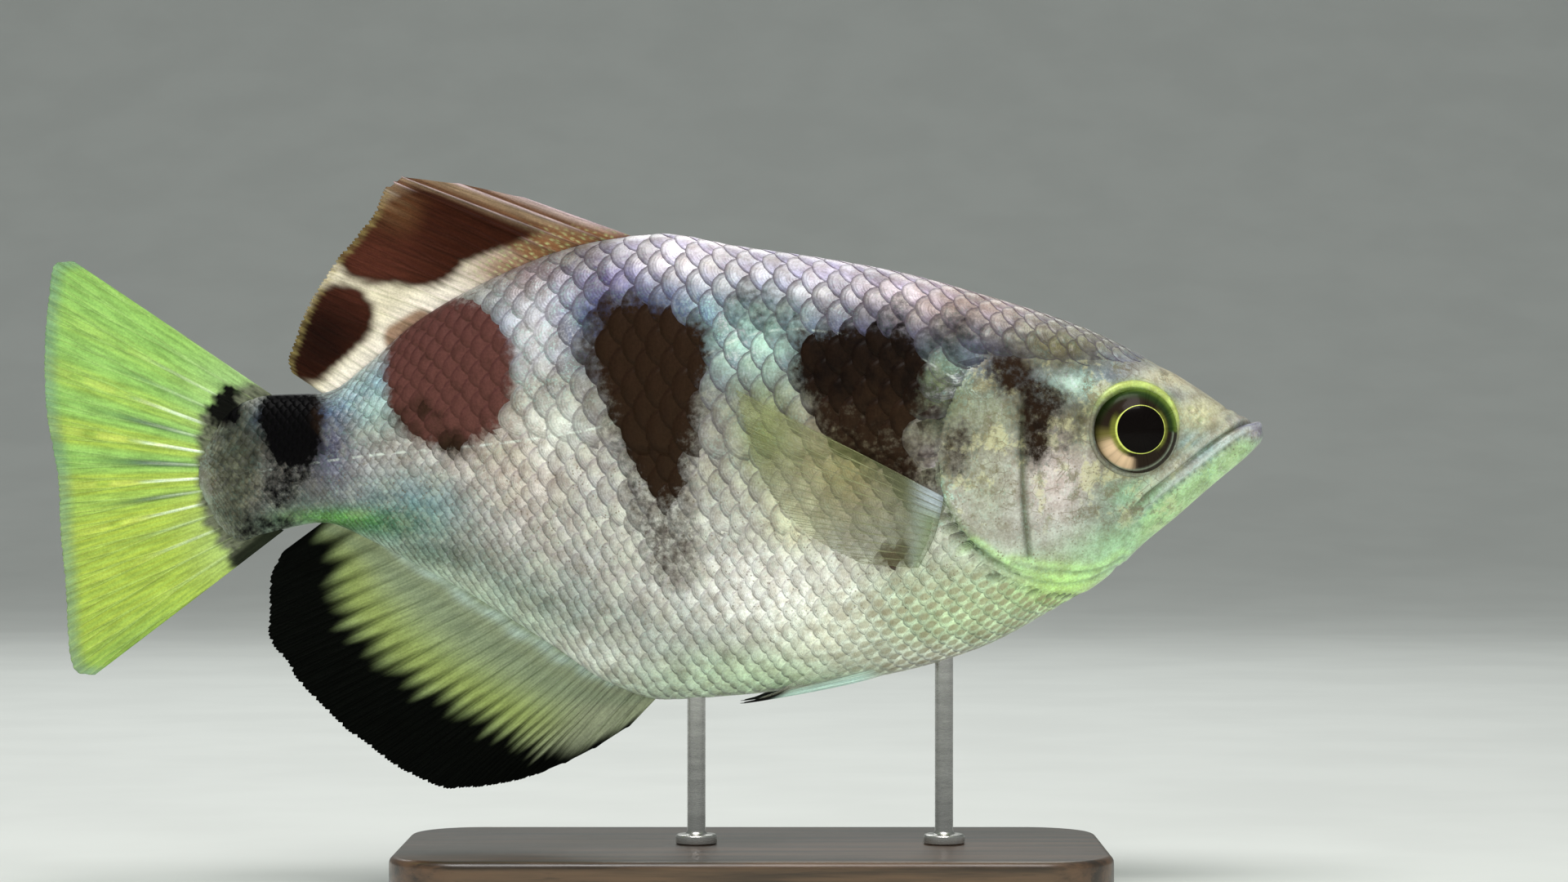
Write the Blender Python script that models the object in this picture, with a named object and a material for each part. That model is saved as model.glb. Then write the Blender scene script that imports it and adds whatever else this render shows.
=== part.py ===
"""A banded archerfish as a life-size display model, held level above a flat base by two short rods.

Metres, +Z up. The nose points to +X and the right flank to -Y. The origin is on the underside of the base,
below the middle of the fish's length. The tables are in millimetres; their heights are measured from the
fish's own axis, which runs level through the eye.
"""

import math

import bmesh
import bpy
import numpy as np

MM = 0.001
AXIS_HEIGHT = 74.2  # of the fish's axis above the underside of the base
GAP = 0.3  # left between touching pieces
THROUGH = 60.0  # a length that passes right through the fish
PAST_NOSE = 130.0  # an x well ahead of the fish

# Body stations, tail to nose: x, top, bottom, half width, share of the height where it is widest,
# and how full the section is above and below that height (2 is an ellipse).
BODY_STATIONS = (
    (-73.8, -2.0, -8.8, 0.9, 0.50, 2.0, 2.0),
    (-71.0, 3.0, -14.2, 1.9, 0.50, 2.0, 2.0),
    (-67.4, 6.6, -16.9, 3.0, 0.50, 2.0, 2.0),
    (-63.0, 7.9, -15.5, 4.2, 0.50, 2.0, 2.0),
    (-54.0, 8.3, -13.8, 5.4, 0.52, 2.0, 2.0),
    (-47.2, 13.0, -16.4, 6.6, 0.53, 2.0, 1.9),
    (-40.5, 19.0, -20.1, 7.8, 0.54, 2.0, 1.85),
    (-32.5, 24.2, -24.4, 9.2, 0.55, 2.0, 1.8),
    (-16.4, 31.4, -34.4, 12.0, 0.56, 2.0, 1.8),
    (-8.3, 33.4, -39.8, 13.4, 0.57, 2.0, 1.85),
    (1.1, 34.4, -42.9, 14.6, 0.57, 2.05, 1.9),
    (13.2, 32.4, -42.2, 15.5, 0.57, 2.1, 2.0),
    (26.6, 30.5, -40.6, 15.9, 0.57, 2.2, 2.0),
    (40.0, 28.1, -38.4, 15.6, 0.57, 2.3, 2.0),
    (53.4, 24.5, -34.4, 14.5, 0.58, 2.4, 1.95),
    (66.8, 20.3, -27.3, 12.6, 0.60, 2.6, 1.9),
    (73.6, 17.6, -23.0, 11.3, 0.61, 2.7, 1.85),
    (80.3, 14.2, -16.9, 9.8, 0.62, 2.7, 1.85),
    (85.6, 11.0, -12.6, 8.2, 0.62, 2.6, 1.9),
    (89.7, 8.4, -9.0, 6.8, 0.60, 2.5, 1.95),
    (93.7, 5.7, -5.6, 5.3, 0.58, 2.3, 2.0),
    (96.5, 3.9, -3.3, 4.1, 0.56, 2.1, 2.0),
    (98.5, 3.3, -1.4, 2.9, 0.52, 2.0, 2.0),
    (99.6, 2.6, -0.1, 1.6, 0.50, 2.0, 2.0),
    (100.0, 1.3, 1.25, 0.05, 0.50, 2.0, 2.0),
)
RING_POINTS = 30
TRUNK_RINGS = np.linspace(-73.8, 44.0, 27)
HEAD_RINGS = np.linspace(46.6, 95.5, 19)
NOSE_RINGS = (96.9, 98.0, 98.8, 99.4, 99.8)
ALL_RINGS = np.concatenate([TRUNK_RINGS, HEAD_RINGS, NOSE_RINGS])
CORE_RINGS = np.linspace(38.0, 72.0, 9)
END_BULGE = 0.2  # how far the middle of each end stands past its last ring

# The body curves towards -Y behind this station, by this much per square millimetre.
BEND_START, BEND_RATE = -20.0, 0.0026

# Lines that part the body, as x and height on the side of the fish.
TAIL_CUT = -54.0
HEAD_REAR = ((56.6, 34.0), (56.0, 26.0), (54.1, 18.8), (51.8, 11.8), (48.3, 5.4), (46.7, -1.3),
             (47.1, -8.1), (49.7, -13.4), (53.4, -17.7), (58.8, -20.8), (66.8, -21.7), (76.5, -19.9))
COVER_TOP, COVER_FOOT = 11.0, -19.5
PREOPERCLE = ((61.7, COVER_TOP), (60.9, 0.0), (61.1, -10.7), (62.2, -20.0))
GAPE = ((98.4, 3.4), (96.5, 2.8), (92.3, 0.0), (88.3, -3.1), (84.3, -6.2), (81.2, -8.8), (78.4, -11.7))
GAPE_RUN_OUT = (12.0, 5.0)  # from the gape's front end to where its cut leaves the snout
GAPE_LEAN = 0.78  # cosine of the gape's slope
JAW_HINGE = ((77.3, -14.0), (77.0, -18.5))
COVER_PROUD, COVER_DEPTH = 0.3, 1.6
COVER_INNER = 4.0  # a half width well inside the plates over the gills

EYE_X, EYE_Z, EYE_RADIUS, EYE_DEPTH, EYE_SUNK = 78.7, 1.7, 7.2, 4.4, 1.9
RIM_RADIUS, RIM_TUBE, RIM_SUNK = 6.95, 0.6, 0.15
LIP_FRONT_RADIUS, LIP_REAR_RADIUS, LIP_REAR, LIP_STEPS = 0.55, 0.85, 79.2, 10
UPPER_LIP_FRONT, LOWER_LIP_FRONT = 96.6, 99.2
LIP_SUNK = 0.35  # share of a lip's radius by which it sits in the skin
LIP_FRONT_HALF = 0.5  # half of the stretch where a lip runs straight across the front
LIP_FLAT = (-0.55, 0.0, 0.83)  # square to the plane that both lips lie near
NOSTRILS = ((89.7, 3.4), (88.0, 5.2))
NOSTRIL_RADIUS, NOSTRIL_DEPTH = 0.5, 1.2

# Fins: share of the way along the fin, x and height, at the roots and at the margin.
DORSAL_ROOT = ((0.00, 0.8, 34.2), (0.08, -4.0, 33.6), (0.16, -8.5, 32.9), (0.24, -13.0, 31.8),
               (0.32, -17.5, 30.4), (0.60, -33.0, 23.4), (0.85, -47.5, 12.6), (1.00, -54.0, 8.6))
DORSAL_MARGIN = ((0.00, -21.7, 40.1), (0.08, -32.5, 42.4), (0.16, -42.1, 43.6), (0.24, -43.2, 42.7),
                 (0.32, -44.4, 41.4), (0.42, -46.5, 37.0), (0.55, -51.0, 31.5), (0.70, -55.5, 24.8),
                 (0.85, -58.6, 18.2), (0.95, -60.0, 12.9), (1.00, -59.3, 10.7))
DORSAL_SPINES = (0.0, 0.08, 0.16, 0.24)
DORSAL_SOFT_START, DORSAL_SOFT_RAYS = 0.32, 12

ANAL_ROOT = ((0.00, 0.8, -42.6), (0.05, -3.0, -41.6), (0.10, -6.5, -40.2), (0.16, -10.5, -37.8),
             (0.40, -25.0, -29.4), (0.60, -37.0, -22.2), (0.80, -48.0, -16.3), (1.00, -56.6, -13.8))
ANAL_MARGIN = ((0.00, -4.3, -47.0), (0.05, -9.9, -50.6), (0.10, -15.0, -53.3), (0.16, -20.0, -55.2),
               (0.27, -27.5, -56.8), (0.36, -33.5, -57.2), (0.46, -41.0, -54.5), (0.56, -47.5, -50.1),
               (0.66, -54.0, -44.3), (0.76, -59.5, -37.4), (0.86, -63.2, -30.5), (0.94, -63.0, -23.0),
               (1.00, -60.3, -16.8))
ANAL_SPINES = (0.0, 0.05, 0.10)
ANAL_SOFT_START, ANAL_SOFT_RAYS = 0.16, 16

TAIL_ROOT = ((0.00, -60.5, 6.2), (0.15, -65.0, 3.6), (0.30, -67.2, -0.4), (0.50, -68.0, -5.0),
             (0.70, -67.2, -9.6), (0.85, -64.8, -13.2), (1.00, -60.5, -14.6))
TAIL_MARGIN = ((0.00, -95.0, 28.6), (0.07, -96.3, 24.6), (0.20, -97.5, 16.8), (0.35, -97.2, 6.0),
               (0.50, -95.7, -5.2), (0.65, -95.2, -14.5), (0.80, -94.2, -24.0), (0.93, -92.8, -33.6),
               (1.00, -90.9, -37.5))
TAIL_RAYS = 17

PECTORAL_ROOT = ((0.0, 46.8, -8.9), (0.5, 45.6, -14.5), (1.0, 42.8, -20.4))
PECTORAL_MARGIN = ((0.0, 13.4, 8.3), (0.25, 15.2, 0.0), (0.5, 18.7, -8.1), (0.75, 24.8, -14.8),
                   (1.0, 33.3, -19.6))
PECTORAL_RAYS = 11
PECTORAL_LIFT_ROOT, PECTORAL_LIFT_TIP, PECTORAL_LIFT_POWER = -0.4, 5.4, 0.75
PECTORAL_SPLAY = 0.18  # slope of the fin away from the flank

PELVIC_ROOT_X, PELVIC_LENGTHS = 40.5, (26.5, 21.0)
PELVIC_ANGLES, PELVIC_TIP_ANGLE = (-82.0, -56.0), -80.0
PELVIC_RAYS = 6
PELVIC_LIFT_ROOT, PELVIC_LIFT_TIP = -1.3, 1.5

FIN_ROOT_SUNK = 2.6
RAY_SHARE = 0.17  # half the width of a ray, as a share of the space between rays
RAY_STEP = 0.35  # how far the margin is drawn in between rays

BASE_LENGTH, BASE_WIDTH, BASE_HEIGHT, BASE_CORNER, BASE_BEVEL = 116.0, 58.0, 8.0, 12.0, 1.2
BASE_CENTRE_X = 16.0
ROD_STATIONS = {"stand_rod_rear": 6.8, "stand_rod_front": 47.5}
ROD_RADIUS, ROD_SOCKET = 1.5, 5.0
COLLAR_RADIUS, COLLAR_HEIGHT = 3.4, 1.6
ROD_SIDES = 16

# Colour, roughness and metallic value of each finish.
FINISHES = {
    "skin": ((0.62, 0.60, 0.54), 0.38, 0.0),
    "gill_cover": ((0.68, 0.62, 0.54), 0.35, 0.0),
    "dark_fin": ((0.10, 0.05, 0.035), 0.45, 0.0),
    "anal_fin": ((0.05, 0.06, 0.03), 0.45, 0.0),
    "tail_fin": ((0.52, 0.68, 0.15), 0.42, 0.0),
    "clear_fin": ((0.60, 0.63, 0.50), 0.40, 0.0),
    "eye": ((0.04, 0.03, 0.02), 0.10, 0.0),
    "base": ((0.09, 0.06, 0.045), 0.35, 0.0),
    "rod": ((0.62, 0.60, 0.56), 0.28, 1.0),
}


def smooth(stations, column, x):
    """One column of a table at x, on a smooth curve that does not overshoot its stations."""
    table = np.array(stations, float)
    xs, ys = table[:, 0], table[:, column]
    step = np.diff(xs)
    rise = np.diff(ys) / step
    together = rise[:-1] * rise[1:] > 0
    total = np.where(together, rise[:-1] + rise[1:], 1.0)
    inner = np.where(together, 2.0 * rise[:-1] * rise[1:] / total, 0.0)
    slope = np.concatenate([rise[:1], inner, rise[-1:]])
    i = np.clip(np.searchsorted(xs, x) - 1, 0, len(step) - 1)
    t = (x - xs[i]) / step[i]
    start = (1 + 2 * t) * (1 - t) ** 2 * ys[i] + t * (1 - t) ** 2 * step[i] * slope[i]
    return start + t * t * (3 - 2 * t) * ys[i + 1] + t * t * (t - 1) * step[i] * slope[i + 1]


def bend(x):
    """How far the body's middle plane lies to -Y at x."""
    return -BEND_RATE * np.square(np.minimum(np.asarray(x, float) - BEND_START, 0.0))


def section(x, angle, grow=0.0):
    """y and height of the body's surface at x; angle 90 degrees is the back and -90 the belly."""
    x = np.asarray(x, float)
    top, bottom, width, share, upper, lower = (smooth(BODY_STATIONS, c, x) for c in range(1, 7))
    top, bottom, width = top + grow, bottom - grow, np.maximum(width + grow, 0.05)
    middle = bottom + share * (top - bottom)
    up = np.sin(angle) > 0
    power = 2.0 / np.where(up, upper, lower)
    reach = np.where(up, top - middle, middle - bottom)
    y = width * np.sign(np.cos(angle)) * np.abs(np.cos(angle)) ** power
    return y + bend(x), middle + reach * np.sign(np.sin(angle)) * np.abs(np.sin(angle)) ** power


def flank(x, z):
    """Half width of the body at x and height z."""
    top, bottom, width, share, upper, lower = (smooth(BODY_STATIONS, c, x) for c in range(1, 7))
    middle = bottom + share * (top - bottom)
    up = z > middle
    reach = np.where(up, top - middle, middle - bottom)
    power = np.where(up, upper, lower)
    away = np.clip(np.abs(z - middle) / reach, 0.0, 1.0)
    return width * (1.0 - away ** power) ** (1.0 / power)


def new_mesh_object(name, points, faces):
    """A mesh object from points in millimetres about the fish's axis, triangulated and facing out."""
    placed = (np.asarray(points, float) + (0.0, 0.0, AXIS_HEIGHT)) * MM
    mesh = bpy.data.meshes.new(name)
    mesh.from_pydata([tuple(p) for p in placed], [], faces)
    shape = bmesh.new()
    shape.from_mesh(mesh)
    bmesh.ops.remove_doubles(shape, verts=shape.verts, dist=1e-7)
    bmesh.ops.recalc_face_normals(shape, faces=shape.faces)
    bmesh.ops.triangulate(shape, faces=shape.faces)
    shape.to_mesh(mesh)
    shape.free()
    obj = bpy.data.objects.new(name, mesh)
    bpy.context.scene.collection.objects.link(obj)
    return obj


def remove(obj):
    """Takes a helper object out of the scene."""
    bpy.data.objects.remove(obj, do_unlink=True)


def copy_of(obj, name):
    """A second object with its own copy of the mesh."""
    twin = obj.copy()
    twin.data = obj.data.copy()
    twin.name = name
    bpy.context.scene.collection.objects.link(twin)
    return twin


def combine(obj, other, operation, solver="EXACT", keep_other=False):
    """Applies one Boolean of obj with other, and removes other unless it is kept."""
    modifier = obj.modifiers.new("combine", "BOOLEAN")
    modifier.operation = operation
    modifier.solver = solver
    modifier.object = other
    graph = bpy.context.evaluated_depsgraph_get()
    mesh = bpy.data.meshes.new_from_object(obj.evaluated_get(graph))
    obj.modifiers.clear()
    obj.data = mesh
    if not keep_other:
        remove(other)
    return obj


def unite(obj, pieces, solver="EXACT"):
    """Joins closed pieces to obj by one Boolean union on a collection."""
    group = bpy.data.collections.new(obj.name + "_pieces")
    for piece in pieces:
        group.objects.link(piece)
    modifier = obj.modifiers.new("unite", "BOOLEAN")
    modifier.operation = "UNION"
    modifier.operand_type = "COLLECTION"
    modifier.collection = group
    modifier.solver = solver
    graph = bpy.context.evaluated_depsgraph_get()
    mesh = bpy.data.meshes.new_from_object(obj.evaluated_get(graph))
    obj.modifiers.clear()
    obj.data = mesh
    for piece in pieces:
        remove(piece)
    bpy.data.collections.remove(group)
    return obj


def keep_largest(obj):
    """Drops every closed surface of the mesh but the one with the most volume."""
    shape = bmesh.new()
    shape.from_mesh(obj.data)
    waiting = set(shape.verts)
    islands = []
    while waiting:
        front = [waiting.pop()]
        island = set(front)
        while front:
            for edge in front.pop().link_edges:
                for vert in edge.verts:
                    if vert in waiting:
                        waiting.discard(vert)
                        island.add(vert)
                        front.append(vert)
        islands.append(island)
    if len(islands) > 1:
        extents = []
        for island in islands:
            spread = np.ptp(np.array([v.co for v in island]), axis=0)
            extents.append(float(np.prod(spread)))
        best = islands[int(np.argmax(extents))]
        bmesh.ops.delete(shape, geom=[v for v in shape.verts if v not in best], context="VERTS")
        shape.to_mesh(obj.data)
    shape.free()
    return obj


def swollen(obj, name, grow):
    """A copy of a closed smooth object, moved outwards along its normals."""
    twin = copy_of(obj, name)
    shape = bmesh.new()
    shape.from_mesh(twin.data)
    shape.normal_update()
    moves = [(v, v.normal.copy()) for v in shape.verts]
    for vert, normal in moves:
        vert.co += normal * grow * MM
    shape.to_mesh(twin.data)
    shape.free()
    return twin


def body_shell(name, grow=0.0, xs=ALL_RINGS):
    """The closed surface of the body over the given rings, moved outwards by grow."""
    angles = np.linspace(0.0, 2.0 * math.pi, RING_POINTS, endpoint=False)
    grid_x, grid_a = np.meshgrid(xs, angles, indexing="ij")
    y, z = section(grid_x, grid_a, grow)
    points = np.stack([grid_x, y, z], axis=-1).reshape(-1, 3)
    count = len(xs)
    ends = [(xs[0] - END_BULGE, float(bend(xs[0])), float(np.mean(z[0]))),
            (xs[-1] + END_BULGE, float(bend(xs[-1])), float(np.mean(z[-1])))]
    points = np.vstack([points, ends])
    tail, nose = count * RING_POINTS, count * RING_POINTS + 1
    faces = []
    for i in range(count - 1):
        for j in range(RING_POINTS):
            k = (j + 1) % RING_POINTS
            a, b = i * RING_POINTS, (i + 1) * RING_POINTS
            faces.append((a + j, a + k, b + k, b + j))
    last = (count - 1) * RING_POINTS
    for j in range(RING_POINTS):
        k = (j + 1) % RING_POINTS
        faces.append((tail, k, j))
        faces.append((nose, last + j, last + k))
    return new_mesh_object(name, points, faces)


def through_curve(points, count):
    """Points on a smooth curve through the given ones, by a Catmull-Rom spline."""
    given = np.array(points, float)
    padded = np.vstack([2 * given[0] - given[1], given, 2 * given[-1] - given[-2]])
    spans = np.linspace(0.0, len(given) - 1.0, count)
    i = np.minimum(spans.astype(int), len(given) - 2)
    t = (spans - i)[:, None]
    p0, p1, p2, p3 = (padded[i + k] for k in range(4))
    bow = (2 * p0 - 5 * p1 + 4 * p2 - p3) * t * t + (3 * p1 - p0 - 3 * p2 + p3) * t ** 3
    return 0.5 * (2 * p1 + (p2 - p0) * t + bow)


def shifted(line, distance):
    """A line on the side of the fish moved sideways, to the left of its direction, with mitred corners."""
    line = np.asarray(line, float)
    along = np.diff(line, axis=0)
    along /= np.linalg.norm(along, axis=1)[:, None]
    left = np.stack([-along[:, 1], along[:, 0]], axis=1)
    corner = np.vstack([left[:1], left]) + np.vstack([left, left[-1:]])
    return line + distance * corner * (2.0 / np.sum(corner ** 2, axis=1))[:, None]


def prism(name, outline, y_low=-THROUGH, y_high=THROUGH):
    """A closed prism across the fish with the given outline on its side."""
    outline = np.asarray(outline, float)
    count = len(outline)
    points = [(x, y, z) for y in (y_low, y_high) for x, z in outline]
    faces = [tuple(range(count)), tuple(range(2 * count - 1, count - 1, -1))]
    for j in range(count):
        k = (j + 1) % count
        faces.append((j, count + j, count + k, k))
    return new_mesh_object(name, points, faces)


def ellipsoid(name, centre, radii, around=20, rows=10):
    """A closed ellipsoid with its poles on the Y axis."""
    points = [(centre[0], centre[1] - radii[1], centre[2])]
    for i in range(1, rows):
        lean = math.pi * i / rows
        for j in range(around):
            turn = 2.0 * math.pi * j / around
            points.append((centre[0] + radii[0] * math.sin(lean) * math.cos(turn),
                           centre[1] - radii[1] * math.cos(lean),
                           centre[2] + radii[2] * math.sin(lean) * math.sin(turn)))
    points.append((centre[0], centre[1] + radii[1], centre[2]))
    faces = []
    last = len(points) - 1
    for j in range(around):
        k = (j + 1) % around
        faces.append((0, 1 + j, 1 + k))
        faces.append((last, last - around + k, last - around + j))
        for i in range(rows - 2):
            a, b = 1 + i * around, 1 + (i + 1) * around
            faces.append((a + j, b + j, b + k, a + k))
    return new_mesh_object(name, points, faces)


def tube(name, path, radii, flat_normal, sides=8, closed=False):
    """A closed tube along a path that lies near the plane with the given normal, round-ended if it is open.

    radii holds a radius for each point of the path.
    """
    path = np.asarray(path, float)
    if closed:
        along = np.roll(path, -1, axis=0) - np.roll(path, 1, axis=0)
    else:
        along = np.gradient(path, axis=0)
    along /= np.linalg.norm(along, axis=1)[:, None]
    side = np.cross(along, flat_normal)
    side /= np.linalg.norm(side, axis=1)[:, None]
    over = np.cross(along, side)
    turns = np.linspace(0.0, 2.0 * math.pi, sides, endpoint=False)
    ring = np.cos(turns)[None, :, None] * side[:, None] + np.sin(turns)[None, :, None] * over[:, None]
    points = (path[:, None] + np.asarray(radii, float)[:, None, None] * ring).reshape(-1, 3)
    count = len(path)
    faces = []
    for i in range(count if closed else count - 1):
        for j in range(sides):
            k = (j + 1) % sides
            a, b = i * sides, ((i + 1) % count) * sides
            faces.append((a + j, a + k, b + k, b + j))
    if not closed:
        start = path[0] - along[0] * radii[0] * 0.7
        end = path[-1] + along[-1] * radii[-1] * 0.7
        points = np.vstack([points, start, end])
        for j in range(sides):
            k = (j + 1) % sides
            faces.append((count * sides, k, j))
            faces.append((count * sides + 1, (count - 1) * sides + j, (count - 1) * sides + k))
    return new_mesh_object(name, points, faces)


def part_body():
    """The body parted by thin cuts into head, lower jaw, gill covers, torso and tail stalk."""
    whole = body_shell("whole_body")
    rear = through_curve(HEAD_REAR, 28)
    rear = np.vstack([(rear[0][0], THROUGH), rear, (rear[-1][0] + 0.8, -THROUGH)])
    front_corners = [(PAST_NOSE, -THROUGH), (PAST_NOSE, THROUGH)]

    torso = combine(copy_of(whole, "torso"), prism("cut", [
        (TAIL_CUT - THROUGH, -THROUGH), (TAIL_CUT + GAP / 2, -THROUGH),
        (TAIL_CUT + GAP / 2, THROUGH), (TAIL_CUT - THROUGH, THROUGH)]), "DIFFERENCE")
    torso = combine(torso, prism("cut", [*shifted(rear, -GAP), *front_corners]), "DIFFERENCE")

    stalk = combine(copy_of(whole, "tail_stalk"), prism("cut", [
        (TAIL_CUT - THROUGH, -THROUGH), (TAIL_CUT - GAP / 2, -THROUGH),
        (TAIL_CUT - GAP / 2, THROUGH), (TAIL_CUT - THROUGH, THROUGH)]), "INTERSECT")

    head = combine(copy_of(whole, "head"), prism("cut", [*rear, *front_corners]), "INTERSECT")
    gape = through_curve(GAPE, 14)
    gape = np.vstack([gape[0] + GAPE_RUN_OUT, gape, JAW_HINGE])
    below = [(JAW_HINGE[-1][0], -THROUGH), (PAST_NOSE, -THROUGH)]
    jaw = combine(copy_of(head, "lower_jaw"), prism("cut", [*gape, *below]), "INTERSECT")
    opened = shifted(gape, -GAP)
    head = combine(head, prism("cut", [*opened, (below[0][0] - GAP, -THROUGH), below[1]]), "DIFFERENCE")

    covers = part_gill_covers(head, rear)
    return whole, head, jaw, torso, stalk, covers


def part_gill_covers(head, rear):
    """Plates over the gills, cut from the head's sides and standing slightly proud at their rear edge."""
    behind = np.array([p for p in rear if COVER_FOOT < p[1] < COVER_TOP])
    outline = np.vstack([(behind[0][0] + GAP, COVER_TOP), behind, PREOPERCLE[::-1]])
    middle = outline.mean(axis=0)
    wider = middle + (outline - middle) * (1.0 + 2 * GAP / np.ptp(outline, axis=0))
    covers = []
    for side, name in ((-1, "gill_cover_r"), (1, "gill_cover_l")):
        reach = sorted((side * COVER_INNER, side * THROUGH))
        plate = body_shell(name, COVER_PROUD)
        plate = combine(plate, prism("cut", outline, *reach), "INTERSECT")
        plate = combine(plate, body_shell("core", -COVER_DEPTH, CORE_RINGS), "DIFFERENCE")
        core = body_shell("core", -COVER_DEPTH - GAP, CORE_RINGS)
        seat = combine(prism("seat", wider, *reach), core, "DIFFERENCE")
        combine(head, seat, "DIFFERENCE")
        covers.append(keep_largest(plate))
    return covers


def add_head_forms(head, jaw):
    """Eye sockets with a raised rim, nostrils and lips."""
    surface = float(flank(EYE_X, EYE_Z))
    turns = np.linspace(0.0, 2.0 * math.pi, 24, endpoint=False)
    rim_x = EYE_X + RIM_RADIUS * np.cos(turns)
    rim_z = EYE_Z + RIM_RADIUS * np.sin(turns)
    eyes, rims, sockets = [], [], []
    for side, name in ((-1, "eye_r"), (1, "eye_l")):
        rim_y = side * (flank(rim_x, rim_z) - RIM_SUNK)
        rims.append(tube("rim", np.stack([rim_x, rim_y, rim_z], axis=1),
                         np.full(len(turns), RIM_TUBE), (0.0, 1.0, 0.0), sides=6, closed=True))
        centre = (EYE_X, side * (surface - EYE_SUNK), EYE_Z)
        eyes.append(ellipsoid(name, centre, (EYE_RADIUS, EYE_DEPTH, EYE_RADIUS)))
        sockets.append(ellipsoid("socket", centre, (EYE_RADIUS + GAP, EYE_DEPTH + GAP, EYE_RADIUS + GAP)))
        for x, z in NOSTRILS:
            pit = (x, side * float(flank(x, z)), z)
            sockets.append(ellipsoid("nostril", pit, (NOSTRIL_RADIUS, NOSTRIL_DEPTH, NOSTRIL_RADIUS), 8, 6))
    unite(head, rims + [lip("upper_lip", 1.0, UPPER_LIP_FRONT)])
    for socket in sockets:
        combine(head, socket, "DIFFERENCE")
    unite(jaw, [lip("lower_lip", -1.0, LOWER_LIP_FRONT)])
    keep_largest(head)
    keep_largest(jaw)
    return eyes


def lip(name, side, front_x):
    """A soft roll along the edge of the gape, round the front of the mouth. side is 1 above and -1 below."""
    gape = through_curve(GAPE, 40)[::-1]
    order = np.argsort(gape[:, 0])
    xs = LIP_REAR + (front_x - LIP_REAR) * np.sin(np.linspace(0.0, math.pi / 2.0, LIP_STEPS))
    heights = np.interp(xs, gape[order, 0], gape[order, 1])
    radii = np.linspace(LIP_REAR_RADIUS, LIP_FRONT_RADIUS, LIP_STEPS)
    heights = heights + side * (radii + GAP) / GAPE_LEAN
    ys = np.maximum(flank(xs, heights) - radii * LIP_SUNK, LIP_FRONT_HALF)
    right = np.stack([xs, -ys, heights], axis=1)
    left = np.stack([xs, ys, heights], axis=1)[::-1]
    return tube(name, np.vstack([right, left]), np.concatenate([radii, radii[::-1]]), LIP_FLAT, sides=6)


def fin_solid(name, place, rays, stiff, rows=6, root_half=0.75, tip_half=0.26, ridge=0.2):
    """A closed fin: a thin membrane with each ray raised on both faces.

    place(share, t) gives the middle surface, as points and unit normals, from root (t 0) to margin (t 1).
    rays are shares along the fin; stiff tells how thick each is, 1 for a soft ray and more for a spine.
    """
    rays = np.asarray(rays, float)
    spacing = np.gradient(rays)
    edge = spacing * RAY_SHARE
    shares = np.stack([rays - edge, rays, rays + edge], axis=1)
    shares[0, 0], shares[-1, 2] = rays[0] - edge[0] * 0.5, rays[-1] + edge[-1] * 0.5
    shares = shares.reshape(-1)
    crest = np.tile([0.0, 1.0, 0.0], len(rays))
    thick = np.repeat(np.asarray(stiff, float), 3)
    t = np.linspace(0.0, 1.0, rows)
    grid_s, grid_t = np.meshgrid(shares, t, indexing="ij")
    points, normals, inward = place(grid_s, grid_t)
    draw_in = RAY_STEP * (1.0 - crest)[:, None] * np.clip((grid_t - 0.8) / 0.2, 0.0, 1.0)
    points = points + inward * draw_in[..., None]
    half = root_half + (tip_half - root_half) * grid_t ** 0.8
    half = half + ridge * crest[:, None] * thick[:, None] * (1.0 - 0.65 * grid_t)
    near = (points - normals * half[..., None]).reshape(-1, 3)
    far = (points + normals * half[..., None]).reshape(-1, 3)
    columns = len(shares)
    offset = len(near)
    faces = []

    def at(column, row):
        return column * rows + row

    for i in range(columns - 1):
        for j in range(rows - 1):
            a, b, c, d = at(i, j), at(i + 1, j), at(i + 1, j + 1), at(i, j + 1)
            faces += [(a, b, c), (a, c, d)]
            faces += [(offset + a, offset + c, offset + b), (offset + a, offset + d, offset + c)]
    rim = [at(i, 0) for i in range(columns)] + [at(columns - 1, j) for j in range(1, rows)]
    rim += [at(i, rows - 1) for i in range(columns - 2, -1, -1)] + [at(0, j) for j in range(rows - 2, 0, -1)]
    for a, b in zip(rim, rim[1:] + rim[:1]):
        faces += [(a, offset + a, offset + b), (a, offset + b, b)]
    return new_mesh_object(name, np.vstack([near, far]), faces)


def spread(roots, margins, share, t, sink=(0.0, 0.0)):
    """x and height in a fin that lies on the middle plane, with the way back from margin to root."""
    share = np.clip(share, 0.0, 1.0)
    root = np.stack([smooth(roots, c, share) + sink[c - 1] for c in (1, 2)], axis=-1)
    margin = np.stack([smooth(margins, c, share) for c in (1, 2)], axis=-1)
    back = root - margin
    back = back / np.linalg.norm(back, axis=-1)[..., None]
    return root + (margin - root) * t[..., None], back


def median_fin(roots, margins, sink, ripple=0.0):
    """The place of a fin on the body's bent middle plane, with a slight ripple towards the margin."""
    def place(share, t):
        flat, back = spread(roots, margins, share, t, sink)
        x, z = flat[..., 0], flat[..., 1]
        wave = ripple * t * t * np.sin(2.0 * math.pi * 2.2 * share)
        y = bend(x) + wave
        slope = -2.0 * BEND_RATE * np.minimum(x - BEND_START, 0.0)
        normal = np.stack([-slope, np.ones_like(slope), np.zeros_like(slope)], axis=-1)
        normal /= np.linalg.norm(normal, axis=-1)[..., None]
        inward = np.stack([back[..., 0], back[..., 0] * slope, back[..., 1]], axis=-1)
        return np.stack([x, y, z], axis=-1), normal, inward
    return place


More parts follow.
